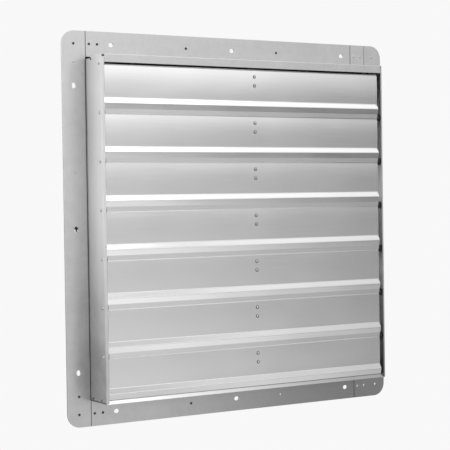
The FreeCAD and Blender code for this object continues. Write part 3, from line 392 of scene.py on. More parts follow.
def slab(axis, outline, low, high, rounded):
    # a flat outline pushed out along one axis, its corners rounded by index
    bm = bmesh.new()
    verts = [bm.verts.new(spot(axis, low, pair)) for pair in outline]
    bm.faces.new(verts)
    for index, size in rounded.items():
        roundOff(bm, [verts[index]], size, steps["slabCorner"], "VERTICES")
    return pushFaces(bm, spot(axis, high - low, (0, 0)))


def softBox(low, high, radius, segments=3):
    bm = bmesh.new()
    bmesh.ops.create_cube(bm, size=1)
    bmesh.ops.scale(bm, vec=[top - bottom for bottom, top in zip(low, high)], verts=bm.verts)
    bmesh.ops.translate(bm, vec=[(top + bottom) / 2 for bottom, top in zip(low, high)], verts=bm.verts)
    roundOff(bm, bm.edges[:], radius, segments, "EDGES")
    return bm


def ringBm(radius, wire, depth, turns, sides):
    # a round wire ring about the Y axis
    bm = bmesh.new()
    ring = bmesh.ops.create_circle(bm, cap_ends=False, segments=sides, radius=wire)["verts"]
    bmesh.ops.translate(bm, vec=(radius, depth, 0), verts=ring)
    return spun(bm, (0, 1, 0), turns)


def aim(x, y, z, way):
    # puts a shape that is turned about Z at a spot, its top facing the given way
    turn = Vector((0, 0, 1)).rotation_difference(Vector(way))
    return Matrix.Translation((x, y, z)) @ turn.to_matrix().to_4x4()


# camera and studio
photoCamera = {"place": (-1.417, -2.282, 0.061), "yaw": 31.457, "pitch": -1.289, "roll": -0.817,
               "focal": 1391, "photoWidth": 450, "sensor": 36, "clipEnd": 50}


def addCamera(view):
    yaw, pitch, roll = (math.radians(view[key]) for key in ("yaw", "pitch", "roll"))
    ahead = Vector((math.sin(yaw) * math.cos(pitch), math.cos(yaw) * math.cos(pitch), math.sin(pitch)))
    level = Vector((math.cos(yaw), -math.sin(yaw), 0))
    upright = level.cross(ahead)
    right = level * math.cos(roll) + upright * math.sin(roll)
    over = upright * math.cos(roll) - level * math.sin(roll)
    lens = bpy.data.cameras.new("photoCamera")
    lens.sensor_width = view["sensor"]
    lens.lens = view["focal"] / view["photoWidth"] * view["sensor"]
    lens.clip_end = view["clipEnd"]
    camera = linked("photoCamera", lens)
    turn = Matrix((right, over, -ahead)).transposed().to_4x4()
    camera.matrix_world = Matrix.Translation(view["place"]) @ turn
    bpy.context.scene.camera = camera


# ramps of the room run over a ray's direction: from, to, and the values there where they aren't 0 and 1
studio = {"backdrop": 0.94, "fill": 0.75, "peak": 2.0, "near": (0.25, 0.6, 1.0, 0.3),
          "rightFall": (0.46, 0.68, 0.0, 0.62), "edgeFall": (0.66, 0.86, 0.0, 0.7),
          "low": (-0.1, -0.28), "lowTilt": (0.42, 0.64, 0.13, -0.13),
          "high": (0.57, 0.65), "highEnd": (0.74, 0.65), "highTilt": (0.44, 0.56, -0.5, 1.0),
          "left": (0.0, -0.4), "leftRise": (-0.15, 0.08, 0.05, 0.46),
          "behind": (-0.1, 0.2), "beside": (-0.1, -0.4), "besideEnd": (-0.85, -0.62),
          "glow": (-0.1, 0.1, 0.1, 2.0), "glowTop": (0.3, 0.5, 1.0, 0.35), "rearPlain": 0.65,
          "side": (-0.66, -0.82), "sideRise": (-0.08, 0.1, 0.35, 1.0),
          "farSide": (0.84, 0.95), "farRise": (-0.3, 0.5, 0.25, 1.1),
          "floor": (-0.1, 0.0, -0.8), "floorRadius": 1.0, "floorSides": 96, "floorGreys": (0.84, 0.87),
          "floorCloud": 1.5, "floorFade": (0.3, 0.95, 0.75, 1.0),
          "sky": [(0.0, 0.1), (0.13, 0.12), (0.22, 0.5), (0.285, 0.57), (0.303, 0.53), (0.32, 0.28),
                  (0.335, 0.13), (0.352, 0.13), (0.38, 0.34), (0.415, 0.41), (0.435, 0.385), (0.456, 0.36),
                  (0.48, 0.33), (0.5, 0.31), (0.52, 0.315), (0.545, 0.5), (0.58, 0.82), (0.63, 0.8),
                  (0.7, 0.42), (0.83, 0.38), (0.895, 0.74), (1.0, 0.74)],
          "softboxes": [((0.65, -1.2, 2.4), (0, 0, 0), 1.6, 9), ((-0.3, 1.8, 2.0), (0, 0.1, 0), 1.6, 10)]}


def addStudio(look):
    world = bpy.data.worlds.new("studio")
    world.use_nodes = True
    bpy.context.scene.world = world
    paint = Paint(world.node_tree)
    way = paint.node("ShaderNodeTexCoord", out="Generated")
    x, y, z = [paint.node("ShaderNodeSeparateXYZ", None, {0: way}, out) for out in range(3)]
    sky = paint.node("ShaderNodeValToRGB", {"stops": look["sky"]}, {0: z * 0.5 + 0.5}) * look["peak"]
    near = paint.ramp(z, *look["near"])  # the fall to the right is strongest low down
    sky = sky * (1 - near * paint.ramp(x, *look["rightFall"]))
    sky = sky * (1 - near * paint.ramp(x, *look["edgeFall"]))
    low = paint.ramp(z, *look["low"])  # low down the room is lighter to the left
    sky = sky * (1 + low * paint.ramp(x, *look["lowTilt"]))
    high = paint.ramp(z, *look["high"]) * paint.ramp(z, *look["highEnd"])  # higher up, to the right
    sky = sky * (1 + high * paint.ramp(x, *look["highTilt"]))
    left = paint.ramp(z, *look["leftRise"])
    sky = sky * (1 - near * paint.ramp(x, *look["left"]) * (1 - left))
    behind = paint.ramp(y, *look["behind"])
    beside = paint.ramp(x, *look["beside"]) * paint.ramp(x, *look["besideEnd"])  # what the left wall mirrors
    glow = paint.ramp(z, *look["glow"]) * paint.ramp(z, *look["glowTop"])
    rear = look["rearPlain"] * (1 - beside) + beside * glow
    side = paint.ramp(x, *look["side"]) * paint.ramp(z, *look["sideRise"])
    side = side + paint.ramp(x, *look["farSide"]) * paint.ramp(z, *look["farRise"])
    room = sky * (1 - behind) + rear * behind + side * near
    camera = paint.node("ShaderNodeLightPath", out="Is Camera Ray")
    glossy = paint.node("ShaderNodeLightPath", out="Is Glossy Ray")
    level = paint.node("ShaderNodeMix", None, {0: glossy, 2: look["fill"], 3: room})
    level = paint.node("ShaderNodeMix", None, {0: camera, 2: level, 3: look["backdrop"]})
    shader = paint.node("ShaderNodeBackground", None, {"Color": grey(1.0), "Strength": level})
    paint.node("ShaderNodeOutputWorld", None, {"Surface": shader})
    for index, (place, target, size, power) in enumerate(look["softboxes"], 1):
        lamp = bpy.data.lights.new(f"softbox{index}", "AREA")
        lamp.shape = "DISK"
        lamp.size = size
        lamp.energy = power
        box = linked(f"softbox{index}", lamp)
        away = Vector(place) - Vector(target)
        box.matrix_world = Matrix.Translation(place) @ away.to_track_quat("Z", "Y").to_matrix().to_4x4()


def addFloor(look):
    material, paint = newMaterial("paleFloor")
    tone = paint.mix(paint.noise(look["floorCloud"], 2), *[grey(level) for level in look["floorGreys"]])
    matt = paint.node("ShaderNodeBsdfDiffuse", None, {"Color": tone})
    white = paint.node("ShaderNodeEmission", None, {"Color": grey(1.0), "Strength": look["backdrop"]})
    camera = paint.node("ShaderNodeLightPath", out="Is Camera Ray")
    sockets = {0: paint.place(), 1: look["floor"]}
    away = paint.node("ShaderNodeVectorMath", {"operation": "DISTANCE"}, sockets, "Value")
    share = camera * paint.ramp(away, *look["floorFade"])
    shader = paint.node("ShaderNodeMixShader", None, {0: share, 1: matt, 2: white})
    paint.node("ShaderNodeOutputMaterial", None, {"Surface": shader})
    bm = bmesh.new()
    bmesh.ops.create_circle(bm, cap_ends=True, segments=look["floorSides"], radius=look["floorRadius"])
    bmesh.ops.translate(bm, vec=look["floor"], verts=bm.verts)
    mesh = meshOf("floor", bm)
    mesh.materials.append(material)
    floor = linked("floor", mesh)


addFloor(studio)
addCamera(photoCamera)
addStudio(studio)
bpy.context.scene.view_settings.view_transform = "Standard"
print("camera and studio set")

# louver blades: folded sheet with a slightly crowned panel
louver = {"count": 7, "topPivot": 296.0, "pitch": 87.4, "pivotDepth": -55.0, "halfLength": 304.0,
          "sheet": 0.8, "stripRise": 9.0, "stripFront": 5.0, "stripLean": 0.28, "stripLow": 1.5,
          "crease": (4.34, 1.9), "panelFront": 4.0, "panelTop": 3.3, "panelDrop": 60.5, "lowestTrim": 4.0,
          "crown": 0.5, "crownCuts": 10, "kick": (4.7, 9.5), "lip": (2.4, 10.5), "leftTongue": 2.8,
          "ridgeBend": 0.9, "kickBend": 0.8, "stripBend": 0.2, "creaseBend": 0.1}
pivots = [louver["topPivot"] - index * louver["pitch"] for index in range(louver["count"])]
towardFront = (0, -1, 0)


def panelFace(number, share):
    # how far out and down a point of the crowned panel lies from its pivot
    low = louver["panelDrop"] - (louver["lowestTrim"] if number == louver["count"] else 0)
    bulge = louver["crown"] * (1 - (2 * share - 1) ** 2)
    return louver["panelFront"] + bulge, louver["panelTop"] + share * (low - louver["panelTop"])


def louverProfile(number):
    strip = [] if number == 1 else [(louver["stripFront"] + louver["stripLean"], louver["stripRise"])]
    face = strip + [(louver["stripFront"], -louver["stripLow"]), (louver["crease"][0], -louver["crease"][1])]
    for cut in range(louver["crownCuts"] + 1):
        out, drop = panelFace(number, cut / louver["crownCuts"])
        face.append((out, -drop))
    ridge = (out + louver["kick"][0], -drop - louver["kick"][1])
    face += [ridge, (ridge[0] - louver["lip"][0], ridge[1] - louver["lip"][1])]
    return face


for number, height in enumerate(pivots, 1):
    outline = [(louver["pivotDepth"] - out, height + rise) for out, rise in louverProfile(number)]
    ridgeAt = len(outline) - 2
    creaseAt = ridgeAt - louver["crownCuts"] - 2
    bends = {ridgeAt: louver["ridgeBend"], ridgeAt - 1: louver["kickBend"]}
    if number > 1:
        bends[creaseAt - 1] = louver["stripBend"]
    bends[creaseAt] = louver["creaseBend"]
    leftEnd = -louver["halfLength"]
    bm = foldSheet("X", outline, [leftEnd, -leftEnd], bends, towardFront, louver["sheet"])
    tongueSpan = [leftEnd - louver["leftTongue"], leftEnd + bite]
    tongueBends = {1: louver["kickBend"], 2: louver["ridgeBend"]}
    addInto(bm, foldSheet("X", outline[-4:], tongueSpan, tongueBends, towardFront, louver["sheet"]))
    replaced = [f"louver_blade_{number}"]
    finishPiece(f"louverSheet{number}", bm, "louver_aluminium", replaced, "louver", f"louver_{number}")
print("louvers modelled")

# flange and shutter frame: folded sheet with punched fixing slots and rivet holes
flange = {"half": 359.0, "box": 312.5, "corner": 25.0, "sheet": 1.2, "fold": 1.2, "seatGap": 0.3,
          "lipBend": 0.9, "holeLine": 335.75, "slotReach": 260.0, "slotRadius": 4.0, "slotReachOut": 1.25,
          "rivetReach": 102.0, "rivetHole": 1.65, "cornerRivet": 303.0, "lapRivets": (7.75, 24.25),
          "seamLeft": -312.5, "seamRight": 283.0, "seamGap": 0.4, "flangeSeam": 1.2, "stepLine": 318.0,
          "stepGap": 0.9, "stepLift": 0.01, "front": -65.0, "sideLip": {-1: 5.4, 1: 3.4}, "topLip": 14.5,
          "sill": 8.0, "sillLean": 5.5, "reliefLong": {1: 22.0, -1: 60.0}, "reliefTall": {1: 4.6, -1: 3.0},
          "reliefWide": {1: 16.0, -1: 0.8}, "leastStrip": 0.05, "footGap": 0.9}
holeLine, box, half, sheet = flange["holeLine"], flange["box"], flange["half"], flange["sheet"]
fold, gap, inner, lipBend = flange["fold"], flange["seamGap"], box - sheet, flange["lipBend"]
seat = box + fold + flange["seatGap"]  # where the flat plate takes over from the fold
twoSheets = 2 * sheet
front, corner = flange["front"], flange["corner"]
rivetSpots = []
for sign in (-1, 1):
    reaches = (-flange["rivetReach"], flange["rivetReach"])
    rivetSpots += [(sign * holeLine, reach) for reach in reaches]
    rivetSpots += [(reach, sign * holeLine) for reach in reaches]
    rivetSpots += [(side * holeLine, sign * high) for side in (-1, 1)
                   for high in (holeLine, flange["cornerRivet"])]
    rivetSpots += [(flange[seam] + along, sign * holeLine) for seam in ("seamLeft", "seamRight")
                   for along in flange["lapRivets"]]
flangeHoles = [(x, z, flange["rivetHole"], 0, 0) for x, z in rivetSpots]
for sign in (-1, 1):
    for place in (-flange["slotReach"], 0, flange["slotReach"]):
        flangeHoles.append((place, sign * holeLine, flange["slotRadius"], flange["slotReachOut"], 0))
        flangeHoles.append((sign * holeLine, place, flange["slotRadius"], 0, flange["slotReachOut"]))


def punched(outline, rounded, depth):
    # a flat plate with those of the flange's holes that lie inside its outline
    inside = []
    for hole in flangeHoles:
        crossings = 0
        for (xa, za), (xb, zb) in zip(outline, outline[1:] + outline[:1]):
            if (za > hole[1]) != (zb > hole[1]) and hole[0] < xa + (hole[1] - za) / (zb - za) * (xb - xa):
                crossings += 1
        if crossings % 2:
            inside.append(hole)
    return holedPlate(outline, rounded, inside, depth, depth + sheet)


def folded(bm, axis, profile, span, bends, facing):
    return addInto(bm, foldSheet(axis, profile, span, bends, facing, sheet))


wallTop, wallLow = box - flange["reliefTall"][1], flange["reliefTall"][-1] - box
heel = box + flange["footGap"]
for label, sign in (("Left", -1), ("Right", 1)):
    wall = [(sign * box, front), (sign * (box - flange["sideLip"][sign]), front)]
    if sign < 0:  # the left wall stands in an open seam
        outline = [(-half, -half), (-box, -half), (-box, wallLow), (-heel, wallLow), (-heel, wallTop),
                   (-box, wallTop), (-box, half), (-half, half)]
        bm = punched(outline, {0: corner, 7: corner}, 0)
        folded(bm, "Z", [(-box, sheet)] + wall, [wallLow, wallTop], {1: lipBend}, (sign, -1, 0))
    else:
        tab, ledge = flange["seamRight"], flange["stepLine"]
        outline = [(tab, -half), (half, -half), (half, half), (ledge, half),
                   (ledge, box + flange["stepLift"]), (box, box), (box, wallTop), (seat, wallTop),
                   (seat, wallLow), (box, wallLow), (box, -box), (tab, -box)]
        bm = punched(outline, {1: corner, 2: corner}, 0)
        tabEnd = ledge - flange["stepGap"]
        addInto(bm, punched([(tab, box), (tabEnd, box), (tabEnd, half), (tab, half)], {}, 0))
        wall = [(seat + bite, 0), (box, 0)] + wall
        folded(bm, "Z", wall, [wallLow, wallTop], {1: fold, 2: lipBend}, (sign, -1, 0))
    for end, near in ((-1, wallLow), (1, wallTop)):  # wall ends in front of the relief cuts
        strip = [(sign * box, -flange["reliefLong"][end]), (sign * box, front + lipBend)]
        folded(bm, "Z", strip, sorted((near - end * bite, end * box)), {}, (sign, 0, 0))
    finishPiece(f"sideFrame{label}", bm, "mill_aluminium", [f"side_frame_{label.lower()}"], "sheet",
                finish=f"{label.lower()}_aluminium")

crossFrames = (("Top", 1, flange["topLip"], 0.0, "mill_aluminium"),
               ("Bottom", -1, flange["sill"], flange["sillLean"], "sill_aluminium"))
flatStart, flatEnd = flange["seamLeft"] + flange["flangeSeam"], flange["seamRight"] - flange["flangeSeam"]
lipStart, lipEnd = flange["sideLip"][-1] + gap - box, box - flange["sideLip"][1] - gap
for label, sign, lip, lean, finish in crossFrames:
    foldStart = flange["reliefWide"][sign] - box
    outline = [(flatStart, sign * box), (foldStart, sign * box), (foldStart, sign * seat),
               (flatEnd, sign * seat), (flatEnd, sign * half), (flatStart, sign * half)]
    bm = punched(outline, {}, 0)
    face = [(front, sign * box), (front + lean, sign * (box - lip))]
    facing = (0, -1, sign)
    foot = [(0, sign * (seat + bite)), (0, sign * box)]
    folded(bm, "X", foot + face, [foldStart - bite, flatEnd], {1: fold, 2: lipBend}, facing)
    folded(bm, "X", [(sheet, sign * box)] + face, [flatEnd - bite, -foldStart], {1: lipBend}, facing)
    relief = [(-flange["reliefLong"][sign], sign * box)]
    for low, high in ((lipStart, foldStart), (-foldStart - bite, lipEnd)):
        if high - low > flange["leastStrip"]:
            folded(bm, "X", relief + face, [low, high], {1: lipBend}, facing)
    replaced = [f"{label.lower()}_frame"]
    finishPiece(f"crossFrame{label}", bm, "mill_aluminium", replaced, "sheet", finish=finish)
print("shutter frame modelled")

# fan housing behind the flange
housing = {"rear": 42.0, "lip": 14.0, "bend": 1.6, "foldShare": 0.9}
rear, lipEdge = housing["rear"], box - housing["lip"]
for label, sign in (("Left", -1), ("Right", 1)):
    reach = box - gap
    near = box + gap if sign < 0 else seat
    flat = [(sign * half, -reach), (sign * near, -reach), (sign * near, reach), (sign * half, reach)]
    bm = punched(flat, {}, sheet)
    profile = [(sign * (near + bite), twoSheets), (sign * box, twoSheets), (sign * box, rear),
               (sign * lipEdge, rear)]
    bends = {1: min(fold, housing["foldShare"] * (near - box)), 2: housing["bend"]}
    folded(bm, "Z", profile, [gap - inner, inner - gap], bends, (sign, 1, 0))
    finishPiece(f"housing{label}", bm, "housing_paint", [f"housing_{label.lower()}"], "sheet")
for label, sign in (("Top", 1), ("Bottom", -1)):
    flat = [(-half, sign * half), (half, sign * half), (half, sign * box), (inner, sign * box),
            (inner, sign * seat), (-inner, sign * seat), (-inner, sign * box), (-half, sign * box)]
    bm = punched(flat, {0: corner, 1: corner}, sheet)
    lipReach = lipEdge - gap
    profile = [(twoSheets, sign * (seat + bite)), (twoSheets, sign * box), (rear, sign * box)]
    lipFace = [(rear, sign * lipEdge)]
    bends = {1: fold, 2: housing["bend"]}
    folded(bm, "X", profile + lipFace, [-lipReach, lipReach], bends, (0, 1, sign))
    for low, high in ((gap - inner, bite - lipReach), (lipReach - bite, inner - gap)):
        folded(bm, "X", profile, [low, high], {1: fold}, (0, 1, sign))
    finishPiece(f"housing{label}", bm, "housing_paint", [f"housing_{label.lower()}"], "sheet")
print("fan housing modelled")

# blind rivets and pivot pins, all turned
rivet = {"dome": [(1.0, 0.0), (0.96, 0.45), (0.8, 0.8), (0.6, 0.97), (0.46, 1.0), (0.4, 0.85), (0.36, -0.4),
                  (0.0, -0.4)],
         "tail": [(0.0, -1.3), (1.5, -1.2), (2.2, -0.8), (2.3, -0.3), (2.2, 0.0), (1.6, 0.0)],
         "shank": 1.6, "sides": 18, "flangeHead": (2.5, 0.8), "louverHead": (3.3, 0.6), "louverGrip": 2.4,
         "core": (2.0, 58), "coreFoot": 0.1, "coreRise": 0.3, "coreSteps": 5,
         "brightFrom": 50, "unshadedRight": 250, "unshadedLeft": -330, "unshadedRise": (-300, 320)}


def rivetBm(grip, head):
    tail = [(radius, along - grip) for radius, along in rivet["tail"]]
    dome = [(radius * head[0], along * head[1]) for radius, along in rivet["dome"]]
    return turnedBm(tail + [(rivet["shank"], 0.0)] + dome, rivet["sides"])


coreRadius, coreTurn = rivet["core"]
ball = coreRadius / math.sin(math.radians(coreTurn))
coreProfile = [(0.0, rivet["coreFoot"]), (coreRadius, rivet["coreFoot"])]
for step in range(rivet["coreSteps"] + 1):  # a round cap
    turn = math.radians(coreTurn * (1 - step / rivet["coreSteps"]))
    rise = ball * (math.cos(turn) - math.cos(math.radians(coreTurn)))
    coreProfile.append((ball * math.sin(turn), rivet["coreRise"] + rise))


# painted shade and highlight: flange rivets take the dark, the plain flange or the bright cap finish by
# where they sit
def rivetLook(x, z):
    if x > rivet["brightFrom"] and z < 0:
        return "Bright"
    low, high = rivet["unshadedRise"]
    unshaded = x > rivet["unshadedRight"] or (x < rivet["unshadedLeft"] and low < z < high)
    return "Unshaded" if unshaded else "Shaded"


rivetFinish = {"Shaded": "rivet_aluminium", "Unshaded": "mill_aluminium", "Bright": "rivet_cap"}
for label, finish in rivetFinish.items():
    places = [aim(x, 0, z, towardFront) for x, z in rivetSpots if rivetLook(x, z) == label]
    bm = stamp(bmesh.new(), rivetBm(twoSheets, rivet["flangeHead"]), places)
    finishPiece(f"flangeRivets{label}", bm, "rivet_aluminium", ["flange_rivets"], "rivet", finish=finish)

# lap rivets sit at the ends of the side walls
lap = {"spots": [(-23.0, 306.0), (-12.0, -306.4), (-46.0, -306.4)], "head": (1.9, 0.8)}
pin = {"head": [(0.0, 1.6), (1.1, 1.5), (2.1, 1.15), (2.8, 0.65), (3.2, 0.0), (2.5, 0.0)],
       "end": [(2.5, -15.7), (2.0, -16.2), (0.0, -16.2)], "sides": 24}
lapRivets, pivotPins = bmesh.new(), bmesh.new()
for sign in (-1, 1):
    outside = (sign, 0, 0)
    stamp(lapRivets, rivetBm(sheet, lap["head"]), [aim(sign * box, y, z, outside) for y, z in lap["spots"]])
    places = [aim(sign * box, louver["pivotDepth"], height, outside) for height in pivots]
    stamp(pivotPins, turnedBm(pin["head"] + pin["end"], pin["sides"]), places)
# painted shade: lap rivet heads take the dark rivet finish
finishPiece("lapRivets", lapRivets, "rivet_aluminium", (), "rivet")
finishPiece("pivotPins", pivotPins, "pin_steel", ["pivot_pins"])

# what each louver carries: end bushings, crank bracket and its rivets
carried = {"discSpan": (304.2, 310.8), "discSides": 32,
           "disc": [(0.0, 0.0), (6.4, 0.0), (7.0, 0.6), (7.0, 6.0), (6.4, 6.6), (4.2, 6.6), (3.9, 5.9),
                    (0.0, 5.9)],
           "block": (284.0, 304.2), "blockDepth": (-58.2, -50.0), "blockHalf": 6.0, "blockRound": 1.0,
           "crankMiddle": 12.5, "crankHalf": 8.0, "baseDepth": (-58.2, -57.0), "baseSpan": (-38.0, -8.0),
           "baseRound": 3.0, "armSheet": 1.2, "eye": (-31.0, 6.0, 5.5), "eyeRounds": {3: 5.0, 4: 4.0},
           "brokenEdge": 0.2, "rivetShares": (0.199, 0.491)}


def bushingBm(height):
    low, high = height - carried["blockHalf"], height + carried["blockHalf"]
    front, back = carried["blockDepth"]
    bm = bmesh.new()
    for sign in (-1, 1):
        place = aim(sign * carried["discSpan"][0], louver["pivotDepth"], height, (sign, 0, 0))
        stamp(bm, turnedBm(carried["disc"], carried["discSides"]), [place])
        near, far = sorted(sign * end for end in carried["block"])
        addInto(bm, softBox((near, front, low), (far, back, high), carried["blockRound"]))
    return bm


def bracketBm(height):
    left = carried["crankMiddle"] - carried["crankHalf"]
    right = carried["crankMiddle"] + carried["crankHalf"]
    low, high = (height + rise for rise in carried["baseSpan"])
    base = [(left, low), (right, low), (right, high), (left, high)]
    bm = slab("Y", base, *carried["baseDepth"], {0: carried["baseRound"], 3: carried["baseRound"]})
    depth, rise, reach = carried["eye"]
    rise += height
    foot = carried["baseDepth"][0]
    arm = [(foot, low), (foot, high), (depth - reach, rise + reach), (depth + reach, rise + reach),
           (depth + reach, rise - reach)]
    return addInto(bm, slab("X", arm, right - carried["armSheet"], right, carried["eyeRounds"]))


for number, height in enumerate(pivots, 1):
    body = f"louver_{number}"
    replaced = [f"louver_bushings_{number}"]
    finishPiece(f"bushings{number}", bushingBm(height), "black_nylon", replaced, body=body)
    finishPiece(f"crankBracket{number}", bracketBm(height), "bracket_steel", [f"louver_bracket_{number}"],
                body=body, edge=carried["brokenEdge"])
    faces = [panelFace(1, share) for share in carried["rivetShares"]]
    places = [aim(carried["crankMiddle"], louver["pivotDepth"] - out, height - drop, towardFront)
              for out, drop in faces]
    # painted shade: the rivet heads take the dark finish, a shaded ring around the polished cores
    heads = stamp(bmesh.new(), rivetBm(rivet["louverGrip"], rivet["louverHead"]), places)
    replaced = [f"louver_rivets_{number}"]
    finishPiece(f"louverRivets{number}", heads, "rivet_aluminium", replaced, "rivet", body)
    cores = stamp(bmesh.new(), turnedBm(coreProfile, rivet["sides"]), places)
    finishPiece(f"rivetCores{number}", cores, "rivet_aluminium", (), "rivet", body, finish="rivet_cap")

tieBar = {"span": (20.9, 22.9), "depth": (-35.5, -26.5), "endRound": 4.4, "eyeDepth": -31.0, "rise": 6.0,
          "reach": 5.5, "brokenEdge": 0.25, "pinGrip": 4.0, "pinSides": 20,
          "pinHead": [(0.0, 1.4), (1.8, 1.3), (2.9, 0.9), (3.5, 0.0), (2.0, 0.0)]}
low, high = pivots[-1] + tieBar["rise"] - tieBar["reach"], pivots[0] + tieBar["rise"] + tieBar["reach"]
barFront, barBack = tieBar["depth"]
barOutline = [(barFront, low), (barBack, low), (barBack, high), (barFront, high)]
bm = slab("X", barOutline, *tieBar["span"], {index: tieBar["endRound"] for index in range(4)})
finishPiece("tieBar", bm, "bracket_steel", ["tie_bar"], body="tie_bar", edge=tieBar["brokenEdge"])
farHead = [(radius, -tieBar["pinGrip"] - along) for radius, along in reversed(tieBar["pinHead"])]
places = [aim(tieBar["span"][1], tieBar["eyeDepth"], height + tieBar["rise"], (1, 0, 0))
          for height in pivots]
bm = stamp(bmesh.new(), turnedBm(tieBar["pinHead"] + farHead, tieBar["pinSides"]), places)
finishPiece("tiePins", bm, "pin_steel", ["tie_pins"], body="tie_bar")
print("pivots, bushings, brackets and tie bar modelled")

# cord clip in the middle left slot: bar, stem and plate as width, depths, heights and rounding
clip = {"bar": (6.0, (-0.9, 4.0), (0, 3.2), 0.35), "stem": (2.6, (-0.9, 1.2), (-4.35, 3.2), 0.35),
        "plate": (6.0, (2.4, 4.4), (0, 18.0), 0.4), "loopDepth": 8.6, "loopSides": 32,
        "loop": [(3.4, 10.3), (3.4, 17.7), (3.7, 18.0), (4.7, 18.0), (5.0, 17.7), (5.0, 10.3), (4.7, 10.0),
                 (3.7, 10.0), (3.4, 10.3)]}
bm = bmesh.new()
for part in ("bar", "stem", "plate"):
    wide, depths, heights, radius = clip[part]
    sides = (-holeLine - wide / 2, -holeLine + wide / 2)
    low, high = zip(sides, depths, heights)
    addInto(bm, softBox(low, high, radius))
stamp(bm, turnedBm(clip["loop"], clip["loopSides"]), [Matrix.Translation((-holeLine, clip["loopDepth"], 0))])
finishPiece("cordClip", bm, "black_nylon", ["cord_clip"])

# orifice panel with its bell mouth
orifice = {"half": 309.5, "corner": 12.0, "front": 42.0, "sheet": 1.2, "mouth": 295.0, "bend": 16.0,
           "bendSteps": 8, "innerFrom": 3, "throat": 279.0, "throatFront": 10.2, "throatEdge": 0.4,
           "turns": 128}
reach, panelBack = orifice["half"], orifice["front"] + orifice["sheet"]
ontoY = Matrix.Rotation(math.radians(-90), 4, "X")  # turns a shape drawn about Z onto the fan's axis
outline = [(-reach, -reach), (reach, -reach), (reach, reach), (-reach, reach)]
corners = {index: orifice["corner"] for index in range(4)}
hole = (0, 0, orifice["mouth"], 0, 0)
bm = holedPlate(outline, corners, [hole], orifice["front"], panelBack, orifice["turns"])
mouthEdge = orifice["mouth"] + bite
outer = [(mouthEdge, panelBack)]
for step in range(1, orifice["bendSteps"] + 1):  # quarter round into the throat
    angle = math.radians(90 * step / orifice["bendSteps"])
    depth = panelBack - orifice["bend"] + orifice["bend"] * math.cos(angle)
    outer.append((orifice["mouth"] - orifice["bend"] * math.sin(angle), depth))
outer.append((orifice["throat"], orifice["throatFront"] + orifice["throatEdge"]))
throatLip = [(orifice["throat"] + orifice["sheet"] / 2, orifice["throatFront"])]
backward = [(radius + orifice["sheet"], along) for radius, along in reversed(outer[orifice["innerFrom"]:])]
mouthProfile = outer + throatLip + backward + [(mouthEdge, orifice["front"]), outer[0]]
stamp(bm, turnedBm(mouthProfile, orifice["turns"]), [ontoY])
finishPiece("orificePanel", bm, "panel_steel", ["orifice_panel"], "sheet")

# motor: shell, end caps, through bolts and arms; faces are radius and depth, shellEnd is inset and distance
motor = {"radius": 62.0, "inside": 59.0, "start": 82.0, "capLong": 22.0, "shellLong": 82.0, "sides": 72,
         "rimSteps": 5, "frontRound": 5.0, "rearRound": 6.0, "capEdge": 0.5,
         "frontFace": [(10.0, 6.0), (10.0, 0.0), (26.0, 0.0), (29.0, 1.2), (44.0, 1.2), (47.0, 0.0)],
         "frontInside": [(59.0, 5.0), (20.0, 6.0), (10.0, 6.0)],
         "rearFace": [(0.0, 0.0), (24.0, 0.0), (27.0, 0.9), (30.0, 3.0), (48.0, 3.0), (50.0, 0.0)],
         "rearInside": [(59.0, 8.0), (0.0, 8.0)],
         "shellEnd": [(0.6, 0.0), (0.3, 0.4), (0.3, 8.0), (1.1, 9.2), (1.1, 11.2), (0.3, 12.4)],
         "studCircle": 56.0, "studLong": 130.0, "studSides": 6, "armSheet": 4.0,
         "armAngles": [45, 135, 225, 315],
         "studHead": [(0.0, 3.5), (3.6, 3.5), (4.6, 3.0), (4.6, 0.0), (2.3, 0.0)]}
radius, motorStart, armAngles = motor["radius"], motor["start"], motor["armAngles"]
capEnd = motorStart + motor["capLong"]
shellEnd = capEnd + motor["shellLong"]
motorEnd = shellEnd + motor["capLong"]


def roundedRim(face, size, toward):
    turns = [math.radians(90 / motor["rimSteps"] * step) for step in range(motor["rimSteps"] + 1)]
    return [(radius - size + size * math.sin(turn), face - toward * size * (1 - math.cos(turn)))
            for turn in turns]


def motorCap(face, seam, toward, size, outside, inside):
    # both caps are drawn from the middle of their face over the rim to the seam and back inside
    edge = motor["capEdge"]
    rim = [(radius, seam + toward * edge), (radius - edge, seam), (motor["inside"], seam)]
    return ([(wide, face - toward * deep) for wide, deep in outside] + roundedRim(face, size, toward) + rim
            + [(wide, face - toward * deep) for wide, deep in inside])


def turnedPiece(name, profile, replaced):
    bm = stamp(bmesh.new(), turnedBm(profile, motor["sides"]), [ontoY])
    finishPiece(name, bm, "motor_paint", [replaced], "sheet")


frontCap = motorCap(motorStart, capEnd, -1, motor["frontRound"], motor["frontFace"], motor["frontInside"])
turnedPiece("motorFrontCap", frontCap, "motor_front_cap")
shell = [(motor["inside"], capEnd)] + [(radius - inset, capEnd + far) for inset, far in motor["shellEnd"]]
shell += [(radius - inset, shellEnd - far) for inset, far in reversed(motor["shellEnd"])]
turnedPiece("motorShell", shell + [(motor["inside"], shellEnd), shell[0]], "motor_shell")
rearCap = motorCap(motorEnd, shellEnd, 1, motor["rearRound"], motor["rearFace"], motor["rearInside"])
turnedPiece("motorRearCap", rearCap, "motor_rear_cap")


def around(reach, degrees, shift=0.0):
    c, s = math.cos(math.radians(degrees)), math.sin(math.radians(degrees))
    return reach * c + shift * s, shift * c - reach * s


farHead = [(wide, -motor["studLong"] - along) for wide, along in reversed(motor["studHead"])]
studSpots = [around(motor["studCircle"], angle) for angle in armAngles]
places = [aim(x, motorStart - motor["armSheet"], z, towardFront) for x, z in studSpots]
bm = stamp(bmesh.new(), turnedBm(motor["studHead"] + farHead, motor["studSides"]), places)
finishPiece("throughBolts", bm, "zinc_steel", ["through_bolts"], "sheet")

